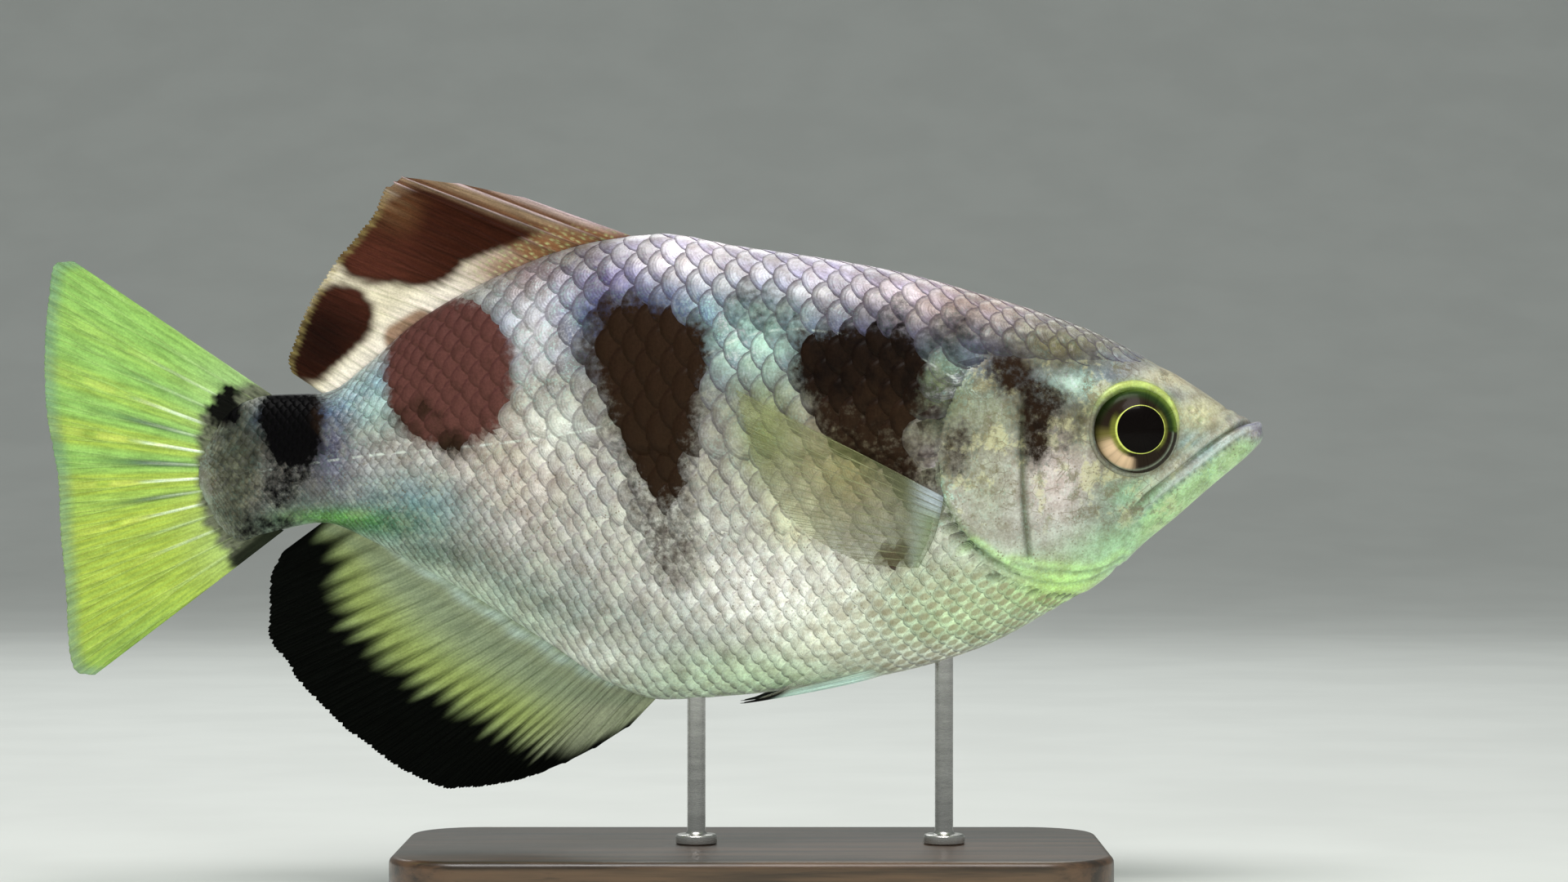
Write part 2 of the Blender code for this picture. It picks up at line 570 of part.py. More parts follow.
def pectoral_place(side):
    """The place of a pectoral fin, which leaves the flank behind the gill opening and fans out over it."""
    def place(share, t):
        flat, back = spread(PECTORAL_ROOT, PECTORAL_MARGIN, share, t)
        x, z = flat[..., 0], flat[..., 1]
        lift = PECTORAL_LIFT_ROOT + (PECTORAL_LIFT_TIP - PECTORAL_LIFT_ROOT) * t ** PECTORAL_LIFT_POWER
        y = side * (flank(x, z) + lift)
        step = 0.05
        slope_x = side * (flank(x + step, z) - flank(x - step, z)) / (2 * step) - side * PECTORAL_SPLAY
        slope_z = side * (flank(x, z + step) - flank(x, z - step)) / (2 * step)
        normal = np.stack([-slope_x, np.ones_like(x), -slope_z], axis=-1)
        normal /= np.linalg.norm(normal, axis=-1)[..., None]
        inward = np.stack([back[..., 0], np.zeros_like(x), back[..., 1]], axis=-1)
        return np.stack([x, y, z], axis=-1), normal, inward
    return place


def pelvic_place(side):
    """The place of a pelvic fin, folded back under the belly beside the keel."""
    def place(share, t):
        share = np.clip(share, 0.0, 1.0)
        length = PELVIC_LENGTHS[0] + (PELVIC_LENGTHS[1] - PELVIC_LENGTHS[0]) * share
        x = PELVIC_ROOT_X - length * t
        start = PELVIC_ANGLES[0] + (PELVIC_ANGLES[1] - PELVIC_ANGLES[0]) * share
        fold = (PELVIC_TIP_ANGLE - start) * t ** 2 * 0.75
        angle = np.radians(start + fold)
        y, z = section(x, angle)
        y2, z2 = section(x, angle + 0.01)
        normal = np.stack([np.zeros_like(x), z2 - z, -(y2 - y)], axis=-1)
        normal /= np.linalg.norm(normal, axis=-1)[..., None]
        lift = PELVIC_LIFT_ROOT + (PELVIC_LIFT_TIP - PELVIC_LIFT_ROOT) * np.sqrt(t)
        points = np.stack([x, y, z], axis=-1) + normal * lift[..., None]
        inward = np.stack([np.ones_like(x), np.zeros_like(x), np.zeros_like(x)], axis=-1)
        mirror = np.array([1.0, side, 1.0])
        return points * mirror, normal * mirror, inward
    return place


def make_fins(whole):
    """Every fin, cut clear of the body at its root."""
    dorsal_rays = [*DORSAL_SPINES, *np.linspace(DORSAL_SOFT_START, 0.985, DORSAL_SOFT_RAYS)]
    anal_rays = [*ANAL_SPINES, *np.linspace(ANAL_SOFT_START, 0.985, ANAL_SOFT_RAYS)]
    fins = [
        fin_solid("dorsal_fin", median_fin(DORSAL_ROOT, DORSAL_MARGIN, (1.2, -FIN_ROOT_SUNK), 0.5),
                  dorsal_rays, [2.6] * len(DORSAL_SPINES) + [1.0] * DORSAL_SOFT_RAYS),
        fin_solid("anal_fin", median_fin(ANAL_ROOT, ANAL_MARGIN, (1.6, FIN_ROOT_SUNK), 0.6),
                  anal_rays, [2.2] * len(ANAL_SPINES) + [1.0] * ANAL_SOFT_RAYS, root_half=0.95),
        fin_solid("caudal_fin", median_fin(TAIL_ROOT, TAIL_MARGIN, (0.0, 0.0), 0.8),
                  np.linspace(0.0, 1.0, TAIL_RAYS), [1.3] * TAIL_RAYS, root_half=0.8),
    ]
    for side, end in ((-1, "r"), (1, "l")):
        fins.append(fin_solid("pectoral_fin_" + end, pectoral_place(side),
                              np.linspace(0.0, 1.0, PECTORAL_RAYS), [0.7] * PECTORAL_RAYS,
                              rows=5, root_half=0.45, tip_half=0.25, ridge=0.16))
        fins.append(fin_solid("pelvic_fin_" + end, pelvic_place(side),
                              np.linspace(0.0, 1.0, PELVIC_RAYS), [2.0] + [0.8] * (PELVIC_RAYS - 1),
                              rows=5, root_half=0.45, tip_half=0.25, ridge=0.16))
    clearance = swollen(whole, "clearance", GAP)
    for fin in fins:
        combine(fin, clearance, "DIFFERENCE", keep_other=True)
        keep_largest(fin)
    return fins, clearance


def rounded_rectangle(length, width, radius, steps=6):
    """Corner arcs joined by straight sides, about the origin."""
    points = []
    for quarter, (sx, sy) in enumerate(((1, 1), (-1, 1), (-1, -1), (1, -1))):
        centre = (sx * (length / 2 - radius), sy * (width / 2 - radius))
        for step in range(steps + 1):
            turn = math.pi / 2 * (quarter + step / steps)
            points.append((centre[0] + radius * math.cos(turn), centre[1] + radius * math.sin(turn)))
    return np.array(points)


def make_stand(clearance):
    """A flat base with a bevelled edge, and two rods that stand in it and reach the belly."""
    floor = -AXIS_HEIGHT
    levels = ((0.0, 0.4), (0.4, 0.0), (BASE_HEIGHT - BASE_BEVEL, 0.0),
              (BASE_HEIGHT - 0.35 * BASE_BEVEL, 0.35 * BASE_BEVEL), (BASE_HEIGHT, BASE_BEVEL))
    rings = []
    for height, inset in levels:
        outline = rounded_rectangle(BASE_LENGTH - 2 * inset, BASE_WIDTH - 2 * inset, BASE_CORNER - inset)
        rings.append([(BASE_CENTRE_X + x, y, floor + height) for x, y in outline])
    count = len(rings[0])
    faces = [tuple(range(count)), tuple(range(len(levels) * count - 1, (len(levels) - 1) * count - 1, -1))]
    for i in range(len(levels) - 1):
        for j in range(count):
            k = (j + 1) % count
            faces.append((i * count + j, i * count + k, (i + 1) * count + k, (i + 1) * count + j))
    base = new_mesh_object("stand_base", [p for ring in rings for p in ring], faces)

    rods = []
    top = floor + BASE_HEIGHT
    for name, x in ROD_STATIONS.items():
        combine(base, turned("hole", x, [(0.0, top - ROD_SOCKET), (ROD_RADIUS + GAP, top - ROD_SOCKET),
                                         (ROD_RADIUS + GAP, top + 2.0), (0.0, top + 2.0)]), "DIFFERENCE")
        belly = float(smooth(BODY_STATIONS, 2, x))
        collar = top + GAP + COLLAR_HEIGHT
        rod = turned(name, x, [(0.0, top - ROD_SOCKET + GAP), (ROD_RADIUS, top - ROD_SOCKET + GAP),
                               (ROD_RADIUS, top + GAP), (COLLAR_RADIUS, top + GAP),
                               (COLLAR_RADIUS, collar - 0.5), (COLLAR_RADIUS - 0.5, collar),
                               (ROD_RADIUS, collar), (ROD_RADIUS, belly + 4.0), (0.0, belly + 4.0)])
        combine(rod, clearance, "DIFFERENCE", keep_other=True)
        rods.append(keep_largest(rod))
    return base, rods


def turned(name, x, outline):
    """A closed solid turned about an upright line at x, from radius and height pairs."""
    points, faces = [], []
    rows = []
    for radius, height in outline:
        if radius == 0.0:
            rows.append([len(points)])
            points.append((x, 0.0, height))
            continue
        rows.append(list(range(len(points), len(points) + ROD_SIDES)))
        for j in range(ROD_SIDES):
            turn = 2.0 * math.pi * j / ROD_SIDES
            points.append((x + radius * math.cos(turn), radius * math.sin(turn), height))
    for low, high in zip(rows, rows[1:]):
        for j in range(ROD_SIDES):
            k = (j + 1) % ROD_SIDES
            if len(low) == 1:
                faces.append((low[0], high[k], high[j]))
            elif len(high) == 1:
                faces.append((low[j], low[k], high[0]))
            else:
                faces.append((low[j], low[k], high[k], high[j]))
    return new_mesh_object(name, points, faces)


def finish_with(obj, finish):
    """Gives an object its own plain material."""
    colour, roughness, metallic = FINISHES[finish]
    material = bpy.data.materials.new(obj.name)
    material.use_nodes = True
    shader = material.node_tree.nodes["Principled BSDF"]
    shader.inputs["Base Color"].default_value = (*colour, 1.0)
    shader.inputs["Roughness"].default_value = roughness
    shader.inputs["Metallic"].default_value = metallic
    obj.data.materials.clear()
    obj.data.materials.append(material)
    obj.data.shade_smooth()
    obj.data.set_sharp_from_angle(angle=math.radians(40.0))


def main():
    """Builds every named piece of the fish and its stand."""
    for obj in list(bpy.data.objects):
        bpy.data.objects.remove(obj, do_unlink=True)
    whole, head, jaw, torso, stalk, covers = part_body()
    eyes = add_head_forms(head, jaw)
    fins, clearance = make_fins(whole)
    base, rods = make_stand(clearance)
    remove(clearance)
    remove(whole)
    for obj in (head, jaw, torso, stalk):
        finish_with(obj, "skin")
    for obj in covers:
        finish_with(obj, "gill_cover")
    for obj in eyes:
        finish_with(obj, "eye")
    fin_finishes = ("dark_fin", "anal_fin", "tail_fin", "clear_fin", "clear_fin", "clear_fin", "clear_fin")
    for obj, finish in zip(fins, fin_finishes):
        finish_with(obj, finish)
    finish_with(base, "base")
    for obj in rods:
        finish_with(obj, "rod")


main()
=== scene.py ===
"""The looks of a banded archerfish, a life-size display model: one skin, its scales, eyes, fins and stand.

Shapes are worked out in millimetres about the fish's own axis, which runs level through the eye, and go into
the mesh in metres. The nose points to +X, the right flank to -Y and the back to +Z. Two numbers name a place
on the body: x, and q, the way round its section, which is 0 on the back's ridge, 1 on the belly's keel and 2
back on the ridge, down the right flank and up the left one in steps of equal length.
"""

import logging
import math
from dataclasses import dataclass, field, replace
from enum import Enum
from typing import Callable, Optional, Sequence, Union

import bpy
import numpy as np
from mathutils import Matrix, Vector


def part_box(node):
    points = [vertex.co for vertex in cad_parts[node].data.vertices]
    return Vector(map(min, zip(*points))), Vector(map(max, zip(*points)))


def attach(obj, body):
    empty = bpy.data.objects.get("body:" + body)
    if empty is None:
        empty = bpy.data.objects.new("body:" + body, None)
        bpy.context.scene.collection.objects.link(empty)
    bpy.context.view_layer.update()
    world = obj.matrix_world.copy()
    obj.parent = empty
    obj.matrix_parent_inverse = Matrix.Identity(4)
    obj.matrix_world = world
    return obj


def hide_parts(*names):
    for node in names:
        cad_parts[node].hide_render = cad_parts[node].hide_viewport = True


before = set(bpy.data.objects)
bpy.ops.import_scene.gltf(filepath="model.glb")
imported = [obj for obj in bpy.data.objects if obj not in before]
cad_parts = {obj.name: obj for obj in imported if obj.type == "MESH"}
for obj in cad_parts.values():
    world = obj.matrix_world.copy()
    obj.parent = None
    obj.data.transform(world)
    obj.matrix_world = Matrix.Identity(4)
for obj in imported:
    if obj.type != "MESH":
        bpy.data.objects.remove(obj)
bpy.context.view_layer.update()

LOG = logging.getLogger("archerfish")
MM = 0.001
EYE_X, EYE_Z, EYE_RADIUS, EYE_DEPTH, EYE_SUNK = 78.7, 1.7, 7.2, 4.4, 1.9
PUPIL_RADIUS = 3.85
VIEW_X, VIEW_AWAY = 21.2, 644.5
AXIS_HEIGHT = (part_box("eye_r")[0].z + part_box("eye_r")[1].z) / 2 / MM - EYE_Z

Array = np.ndarray
Socket = bpy.types.NodeSocket
Feed = Union[Socket, float, tuple]
Points = Sequence[tuple[float, ...]]
Colour = tuple[float, float, float]
Paint = Union[Array, Colour]

# Lines on the side of the fish, as x and height.
HEAD_REAR = ((56.6, 34), (56, 26), (54.1, 18.8), (51.8, 11.8), (48.3, 5.4), (46.7, -1.3),
             (47.1, -8.1), (49.7, -13.4), (53.4, -17.7), (58.8, -20.8), (66.8, -21.7), (76.5, -19.9))
SCALE_EDGE = ((97, 8.5), (91, 9.4), (86, 11.2), (80, 12.9), (72, 13.2), (63, 13.6), (55.5, 13.6))
SCALE_REAR = ((51.8, 11.8), (48.3, 5.4), (46.7, -1.3), (47.1, -8.1), (49.4, -14), (53, -19),
              (58.8, -22.7), (66.8, -25), (79, -24.5))
GAPE = ((98.4, 3.4), (96.5, 2.8), (92.3, 0), (88.3, -3.1), (84.3, -6.2), (81.2, -8.8), (78.4, -11.7))
PREOPERCLE = ((60.9, 8), (60.5, 0), (60.8, -10.7), (61.6, -19))
GILL_FOLDS = (((52.5, -17.2), (58.8, -21.6), (65.4, -23.6), (70.9, -23.2), (76, -20.8)),
              ((58.8, -20.2), (65.4, -21.4), (72.2, -21.6), (77, -19.2)))
LATERAL_LINE = ((51.4, 8.7), (44, 13.4), (34.6, 16.8), (21.2, 18.4), (10.5, 15.4), (-0.3, 7.4),
                (-7.7, 2.7), (-20.4, 0.3), (-32.5, -1.1), (-47.2, -2.4), (-63.4, -4.7))
NOSTRILS = ((89.7, 3.4), (88, 5.2))


class Side(Enum):
    """The two sides of the fish, as the sign of y."""

    RIGHT = -1
    LEFT = 1

    @property
    def end(self) -> str:
        """The ending of a piece's name on this side."""
        return "r" if self is Side.RIGHT else "l"


# Shapes of curves and fields

def ease(low: float, high: float, value: Array) -> Array:
    """A soft step: 0 up to low, 1 from high, and 3 t squared less 2 t cubed between them."""
    t = np.clip((np.asarray(value, float) - low) / (high - low), 0, 1)
    return t * t * (3 - 2 * t)


def hump(distance: Array, width: float) -> Array:
    """A bell curve: e to the minus square of distance over width."""
    return np.exp(-np.square(distance / width))


def smooth(stations: Points, column: int, x: Array) -> Array:
    """One column of a table at x, on cubic pieces whose slopes are harmonic means, so they don't overshoot.

    Args:
        stations: Rows that start with x, in rising order.
        column: The column that is read.
        x: Where it is read.

    Returns:
        The column's value at each x.
    """
    table = np.array(stations, float)
    xs, ys = table[:, 0], table[:, column]
    step = np.diff(xs)
    rise = np.diff(ys) / step
    together = rise[:-1] * rise[1:] > 0
    total = np.where(together, rise[:-1] + rise[1:], 1)
    inner = np.where(together, 2 * rise[:-1] * rise[1:] / total, 0)
    slope = np.concatenate([rise[:1], inner, rise[-1:]])
    i = np.clip(np.searchsorted(xs, x) - 1, 0, len(step) - 1)
    t = (x - xs[i]) / step[i]
    start = (1 + 2 * t) * (1 - t) ** 2 * ys[i] + t * (1 - t) ** 2 * step[i] * slope[i]
    return start + t * t * (3 - 2 * t) * ys[i + 1] + t * t * (t - 1) * step[i] * slope[i + 1]


def spline(points: Points, count: int) -> Array:
    """Points on a Catmull-Rom curve through the given ones.

    Args:
        points: The points that the curve passes.
        count: How many points are read from it, at equal steps of its parameter.

    Returns:
        The points, one to a row.
    """
    given = np.array(points, float)
    padded = np.vstack([2 * given[0] - given[1], given, 2 * given[-1] - given[-2]])
    spans = np.linspace(0, len(given) - 1, count)
    i = np.minimum(spans.astype(int), len(given) - 2)
    t = (spans - i)[:, None]
    p0, p1, p2, p3 = (padded[i + k] for k in range(4))
    bow = (2 * p0 - 5 * p1 + 4 * p2 - p3) * t * t + (3 * p1 - p0 - 3 * p2 + p3) * t ** 3
    return 0.5 * (2 * p1 + (p2 - p0) * t + bow)


def line_field(x: Array, z: Array, line: Points) -> tuple[Array, Array]:
    """The distance of places on the side of the fish from a line of straight pieces.

    Args:
        x: The places' x.
        z: Their height.
        line: The line's points.

    Returns:
        The distance, above zero to the left of the line's direction, and the way along the line.
    """
    line = np.asarray(line, float)
    best = np.full(np.shape(x), np.inf)
    signed, along = np.zeros(np.shape(x)), np.zeros(np.shape(x))
    run = 0
    for start, end in zip(line[:-1], line[1:]):
        reach = end - start
        length = float(np.hypot(*reach))
        dx, dz = x - start[0], z - start[1]
        t = np.clip((dx * reach[0] + dz * reach[1]) / length ** 2, 0, 1)
        away = np.hypot(dx - t * reach[0], dz - t * reach[1])
        nearer = away < best
        best = np.where(nearer, away, best)
        signed = np.where(nearer, away * np.sign(reach[0] * dz - reach[1] * dx), signed)
        along = np.where(nearer, run + t * length, along)
        run += length
    return signed, along


def unit(vectors: Array) -> Array:
    """Vectors brought to length 1."""
    return vectors / np.maximum(np.linalg.norm(vectors, axis=-1, keepdims=True), 1e-9)


def full_turn(count: int) -> Array:
    """Angles at equal steps once round, without the last one that closes it."""
    return np.linspace(0, 2 * math.pi, count, endpoint=False)


def layered(base: Paint, layers: Sequence[tuple[Paint, Array]], last: Union[float, Array] = 1) -> Array:
    """Colours laid over a base in turn, each by its share.

    Args:
        base: One colour, or one for each place.
        layers: Each layer's colour, and its share at each place.
        last: The fourth number at each place.

    Returns:
        Red, green, blue and the fourth number at each place.
    """
    colour = np.asarray(base, float)
    for paint, share in layers:
        colour = colour + (np.array(paint) - colour) * share[..., None]
    return np.concatenate([colour, np.broadcast_to(last, colour.shape[:-1])[..., None]], axis=-1)


# Faces and pieces

def ring_faces(rings: int, around: int, closed: bool = False) -> list[Array]:
    """Faces on rings that close on themselves, with a point past each end unless the ends meet.

    Args:
        rings: How many rings there are.
        around: How many points each has.
        closed: True where the last ring joins the first, as on a hoop.

    Returns:
        An array of four-sided faces, and one of triangles at the two ends where there are ends.
    """
    i, j = np.meshgrid(np.arange(rings if closed else rings - 1), np.arange(around), indexing="ij")
    i, j = i.ravel(), j.ravel()
    n, k = (i + 1) % rings, (j + 1) % around
    quads = np.stack([i * around + j, i * around + k, n * around + k, n * around + j], axis=1)
    if closed:
        return [quads]
    j = np.arange(around)
    k = (j + 1) % around
    first, last = rings * around, rings * around + 1
    start = np.stack([np.full(around, first), k, j], axis=1)
    end = np.stack([np.full(around, last), (rings - 1) * around + j, (rings - 1) * around + k], axis=1)
    return [quads, np.vstack([start, end])]


def grid_faces(columns: int, rows: int) -> tuple[Array, Array]:
    """Faces of a grid of points.

    Args:
        columns: How many columns it has.
        rows: How many points are in each.

    Returns:
        The faces, and the points on the grid's edge in order round it.
    """
    corner = (np.arange(columns - 1)[:, None] * rows + np.arange(rows - 1)).ravel()
    rim = np.concatenate([np.arange(columns) * rows, (columns - 1) * rows + np.arange(1, rows),
                          np.arange(columns - 2, -1, -1) * rows + rows - 1, np.arange(rows - 2, 0, -1)])
    return np.stack([corner, corner + rows, corner + rows + 1, corner + 1], axis=1), rim


def sheet_faces(columns: int, rows: int) -> list[Array]:
    """Faces of a closed sheet: a near grid, a far grid after it, and the edge that joins them.

    Args:
        columns: How many columns each grid has.
        rows: How many points are in each.

    Returns:
        The faces of the near grid, of the far one and of the edge.
    """
    near, rim = grid_faces(columns, rows)
    after, offset = np.roll(rim, -1), columns * rows
    return [near, near[:, ::-1] + offset, np.stack([rim, rim + offset, after + offset, after], axis=1)]


def enclosed(points: Array, faces: Sequence[Array]) -> float:
    """The volume inside closed faces: a sixth of the sum of each triangle's corner product.

    Args:
        points: The points.
        faces: Arrays of faces over them.

    Returns:
        The volume, below zero where the faces look inwards.
    """
    total = 0
    for group in faces:
        for k in range(1, group.shape[1] - 1):
            a, b, c = points[group[:, 0]], points[group[:, k]], points[group[:, k + 1]]
            total += float(np.sum(a * np.cross(b, c))) / 6
    return total


def put_in_scene(name: str, data: bpy.types.ID) -> bpy.types.Object:
    """Makes an object at the scene's origin.

    Args:
        name: Its name.
        data: Its mesh, lamp or camera.

    Returns:
        The new object.
    """
    made = bpy.data.objects.new(name, data)
    bpy.context.scene.collection.objects.link(made)
    return made


@dataclass
class Piece:
    """A mesh before it is made: points in millimetres about the fish's axis, faces, and what they carry."""

    name: str
    points: Array
    faces: list[Array]
    colours: dict[str, Array] = field(default_factory=dict)
    vectors: dict[str, Array] = field(default_factory=dict)
    bake_places: Optional[Array] = None
    sharp_angle: Optional[float] = None

    def make(self, material: bpy.types.Material, slot: str, nodes: Sequence[str] = ()) -> bpy.types.Object:
        """Puts the mesh in the scene, riding on the part.

        Args:
            material: Its finish.
            slot: The record's material slot that the finish belongs to; not used.
            nodes: The CAD nodes that the piece stands for.

        Returns:
            The new object.
        """
        faces = self.faces
        if enclosed(self.points, faces) < 0:
            if self.bake_places is not None:
                raise ValueError(f"{self.name} is inside out")
            faces = [group[:, ::-1] for group in faces]
        mesh = bpy.data.meshes.new(self.name)
        placed = (self.points + (0, 0, AXIS_HEIGHT)) * MM
        mesh.vertices.add(len(placed))
        mesh.vertices.foreach_set("co", placed.astype(np.float32).ravel())
        corners = np.concatenate([group.ravel() for group in faces])
        sizes = np.concatenate([np.full(len(group), group.shape[1]) for group in faces])
        mesh.loops.add(len(corners))
        mesh.loops.foreach_set("vertex_index", corners.astype(np.int32))
        mesh.polygons.add(len(sizes))
        starts = np.concatenate([[0], np.cumsum(sizes)[:-1]])
        mesh.polygons.foreach_set("loop_start", starts.astype(np.int32))
        mesh.update(calc_edges=True)
        for kind, carried in (("color", self.colours), ("vector", self.vectors)):
            for name, values in carried.items():
                layer = mesh.attributes.new(name, "FLOAT_" + kind.upper(), "POINT")
                layer.data.foreach_set(kind, np.ascontiguousarray(values, np.float32).ravel())
        if self.bake_places is not None:
            layer = mesh.uv_layers.new(name="OFBake")
            layer.data.foreach_set("uv", self.bake_places.astype(np.float32).ravel())
        mesh.validate()
        mesh.shade_smooth()
        if self.sharp_angle is not None:
            mesh.set_sharp_from_angle(angle=math.radians(self.sharp_angle))
        mesh.materials.append(material)
        made = put_in_scene(self.name, mesh)
        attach(made, "root")
        if nodes:
            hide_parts(*nodes)
        LOG.info("%s: %d points, %d faces", self.name, len(placed), len(sizes))
        return made


# The body's form

@dataclass(frozen=True)
class BodyForm:
    """The body's plain form, the same as the solids': sections along x, bent a little at the tail.

    A station holds x, top, bottom, half width, the share of the height where the body is widest, and how full
    the section is above and below that height.
    """

    stations: Points = (
        (-73.8, -2, -8.8, 0.9, 0.5, 2, 2),
        (-71, 3, -14.2, 1.9, 0.5, 2, 2),
        (-67.4, 6.6, -16.9, 3, 0.5, 2, 2),
        (-63, 7.9, -15.5, 4.2, 0.5, 2, 2),
        (-54, 8.3, -13.8, 5.4, 0.52, 2, 2),
        (-47.2, 13, -16.4, 6.6, 0.53, 2, 1.9),
        (-40.5, 19, -20.1, 7.8, 0.54, 2, 1.85),
        (-32.5, 24.2, -24.4, 9.2, 0.55, 2, 1.8),
        (-16.4, 31.4, -34.4, 12, 0.56, 2, 1.8),
        (-8.3, 33.4, -39.8, 13.4, 0.57, 2, 1.85),
        (1.1, 34.4, -42.9, 14.6, 0.57, 2.05, 1.9),
        (13.2, 32.4, -42.2, 15.5, 0.57, 2.1, 2),
        (26.6, 30.5, -40.6, 15.9, 0.57, 2.2, 2),
        (40, 28.1, -38.4, 15.6, 0.57, 2.3, 2),
        (53.4, 24.5, -34.4, 14.5, 0.58, 2.4, 1.95),
        (66.8, 20.3, -27.3, 12.6, 0.6, 2.6, 1.9),
        (73.6, 17.6, -23, 11.3, 0.61, 2.7, 1.85),
        (80.3, 14.2, -16.9, 9.8, 0.62, 2.7, 1.85),
        (85.6, 11, -12.6, 8.2, 0.62, 2.6, 1.9),
        (89.7, 8.4, -9, 6.8, 0.6, 2.5, 1.95),
        (93.7, 5.7, -5.6, 5.3, 0.58, 2.3, 2),
        (96.5, 3.9, -3.3, 4.1, 0.56, 2.1, 2),
        (98.5, 3.3, -1.4, 2.9, 0.52, 2, 2),
        (99.6, 2.6, -0.1, 1.6, 0.5, 2, 2),
        (100, 1.3, 1.25, 0.05, 0.5, 2, 2),
    )
    bend_start: float = -20
    bend_rate: float = 0.0026

    def columns(self, x: Array) -> tuple[Array, ...]:
        """Top, bottom, half width, widest share and the two fullnesses at x."""
        return tuple(smooth(self.stations, column, x) for column in range(1, 7))

    def bend(self, x: Array) -> Array:
        """How far the middle plane lies to -Y: the bend's rate times the square of the way past its start."""
        return -self.bend_rate * np.square(np.minimum(np.asarray(x, float) - self.bend_start, 0))

    def bend_slope(self, x: Array) -> Array:
        """The slope of the middle plane along x."""
        return -2 * self.bend_rate * np.minimum(np.asarray(x, float) - self.bend_start, 0)

    def half_section(self, x: Array, angle: Array) -> tuple[Array, Array]:
        """Half of a section, as a superellipse whose power changes at its widest height.

        Args:
            x: Where the section is.
            angle: The way round it, a quarter turn on the back and three quarters on the keel.

        Returns:
            The distance from the middle plane, and the height.
        """
        top, bottom, width, share, upper, lower = self.columns(x)
        middle = bottom + share * (top - bottom)
        up = np.sin(angle) > 0
        power = 2 / np.where(up, upper, lower)
        reach = np.where(up, top - middle, middle - bottom)
        height = middle + reach * np.sign(np.sin(angle)) * np.abs(np.sin(angle)) ** power
        return width * np.abs(np.cos(angle)) ** power, height

    def flank(self, x: Array, z: Array) -> Array:
        """The half width of the body.

        Args:
            x: Places on it.
            z: Their heights.

        Returns:
            The half width at each place.
        """
        top, bottom, width, share, upper, lower = self.columns(x)
        middle = bottom + share * (top - bottom)
        up = z > middle
        reach = np.where(up, top - middle, middle - bottom)
        power = np.where(up, upper, lower)
        away = np.clip(np.abs(z - middle) / reach, 0, 1)
        return width * (1 - away ** power) ** (1 / power)

    def height_share(self, x: Array, z: Array) -> Array:
        """How high a place lies on the body, 0 on the keel and 1 on the ridge."""
        top, bottom = smooth(self.stations, 1, x), smooth(self.stations, 2, x)
        return np.clip((z - bottom) / (top - bottom), 0, 1)


def side_view(points: Array, form: BodyForm) -> tuple[Array, Array]:
    """Where places on the hide are seen on the middle plane, on which all marks and lines are laid out.

    Each is spread from the axis of view by its distance from the plane over the distance of view.

    Args:
        points: Places on either side of the body.
        form: The body's form, for its bend.

    Returns:
        Their x and height on the plane.
    """
    bend = form.bend(points[..., 0])
    grow = 1 + (np.abs(points[..., 1] - bend) - bend) / VIEW_AWAY
    return VIEW_X + (points[..., 0] - VIEW_X) * grow, points[..., 2] * grow


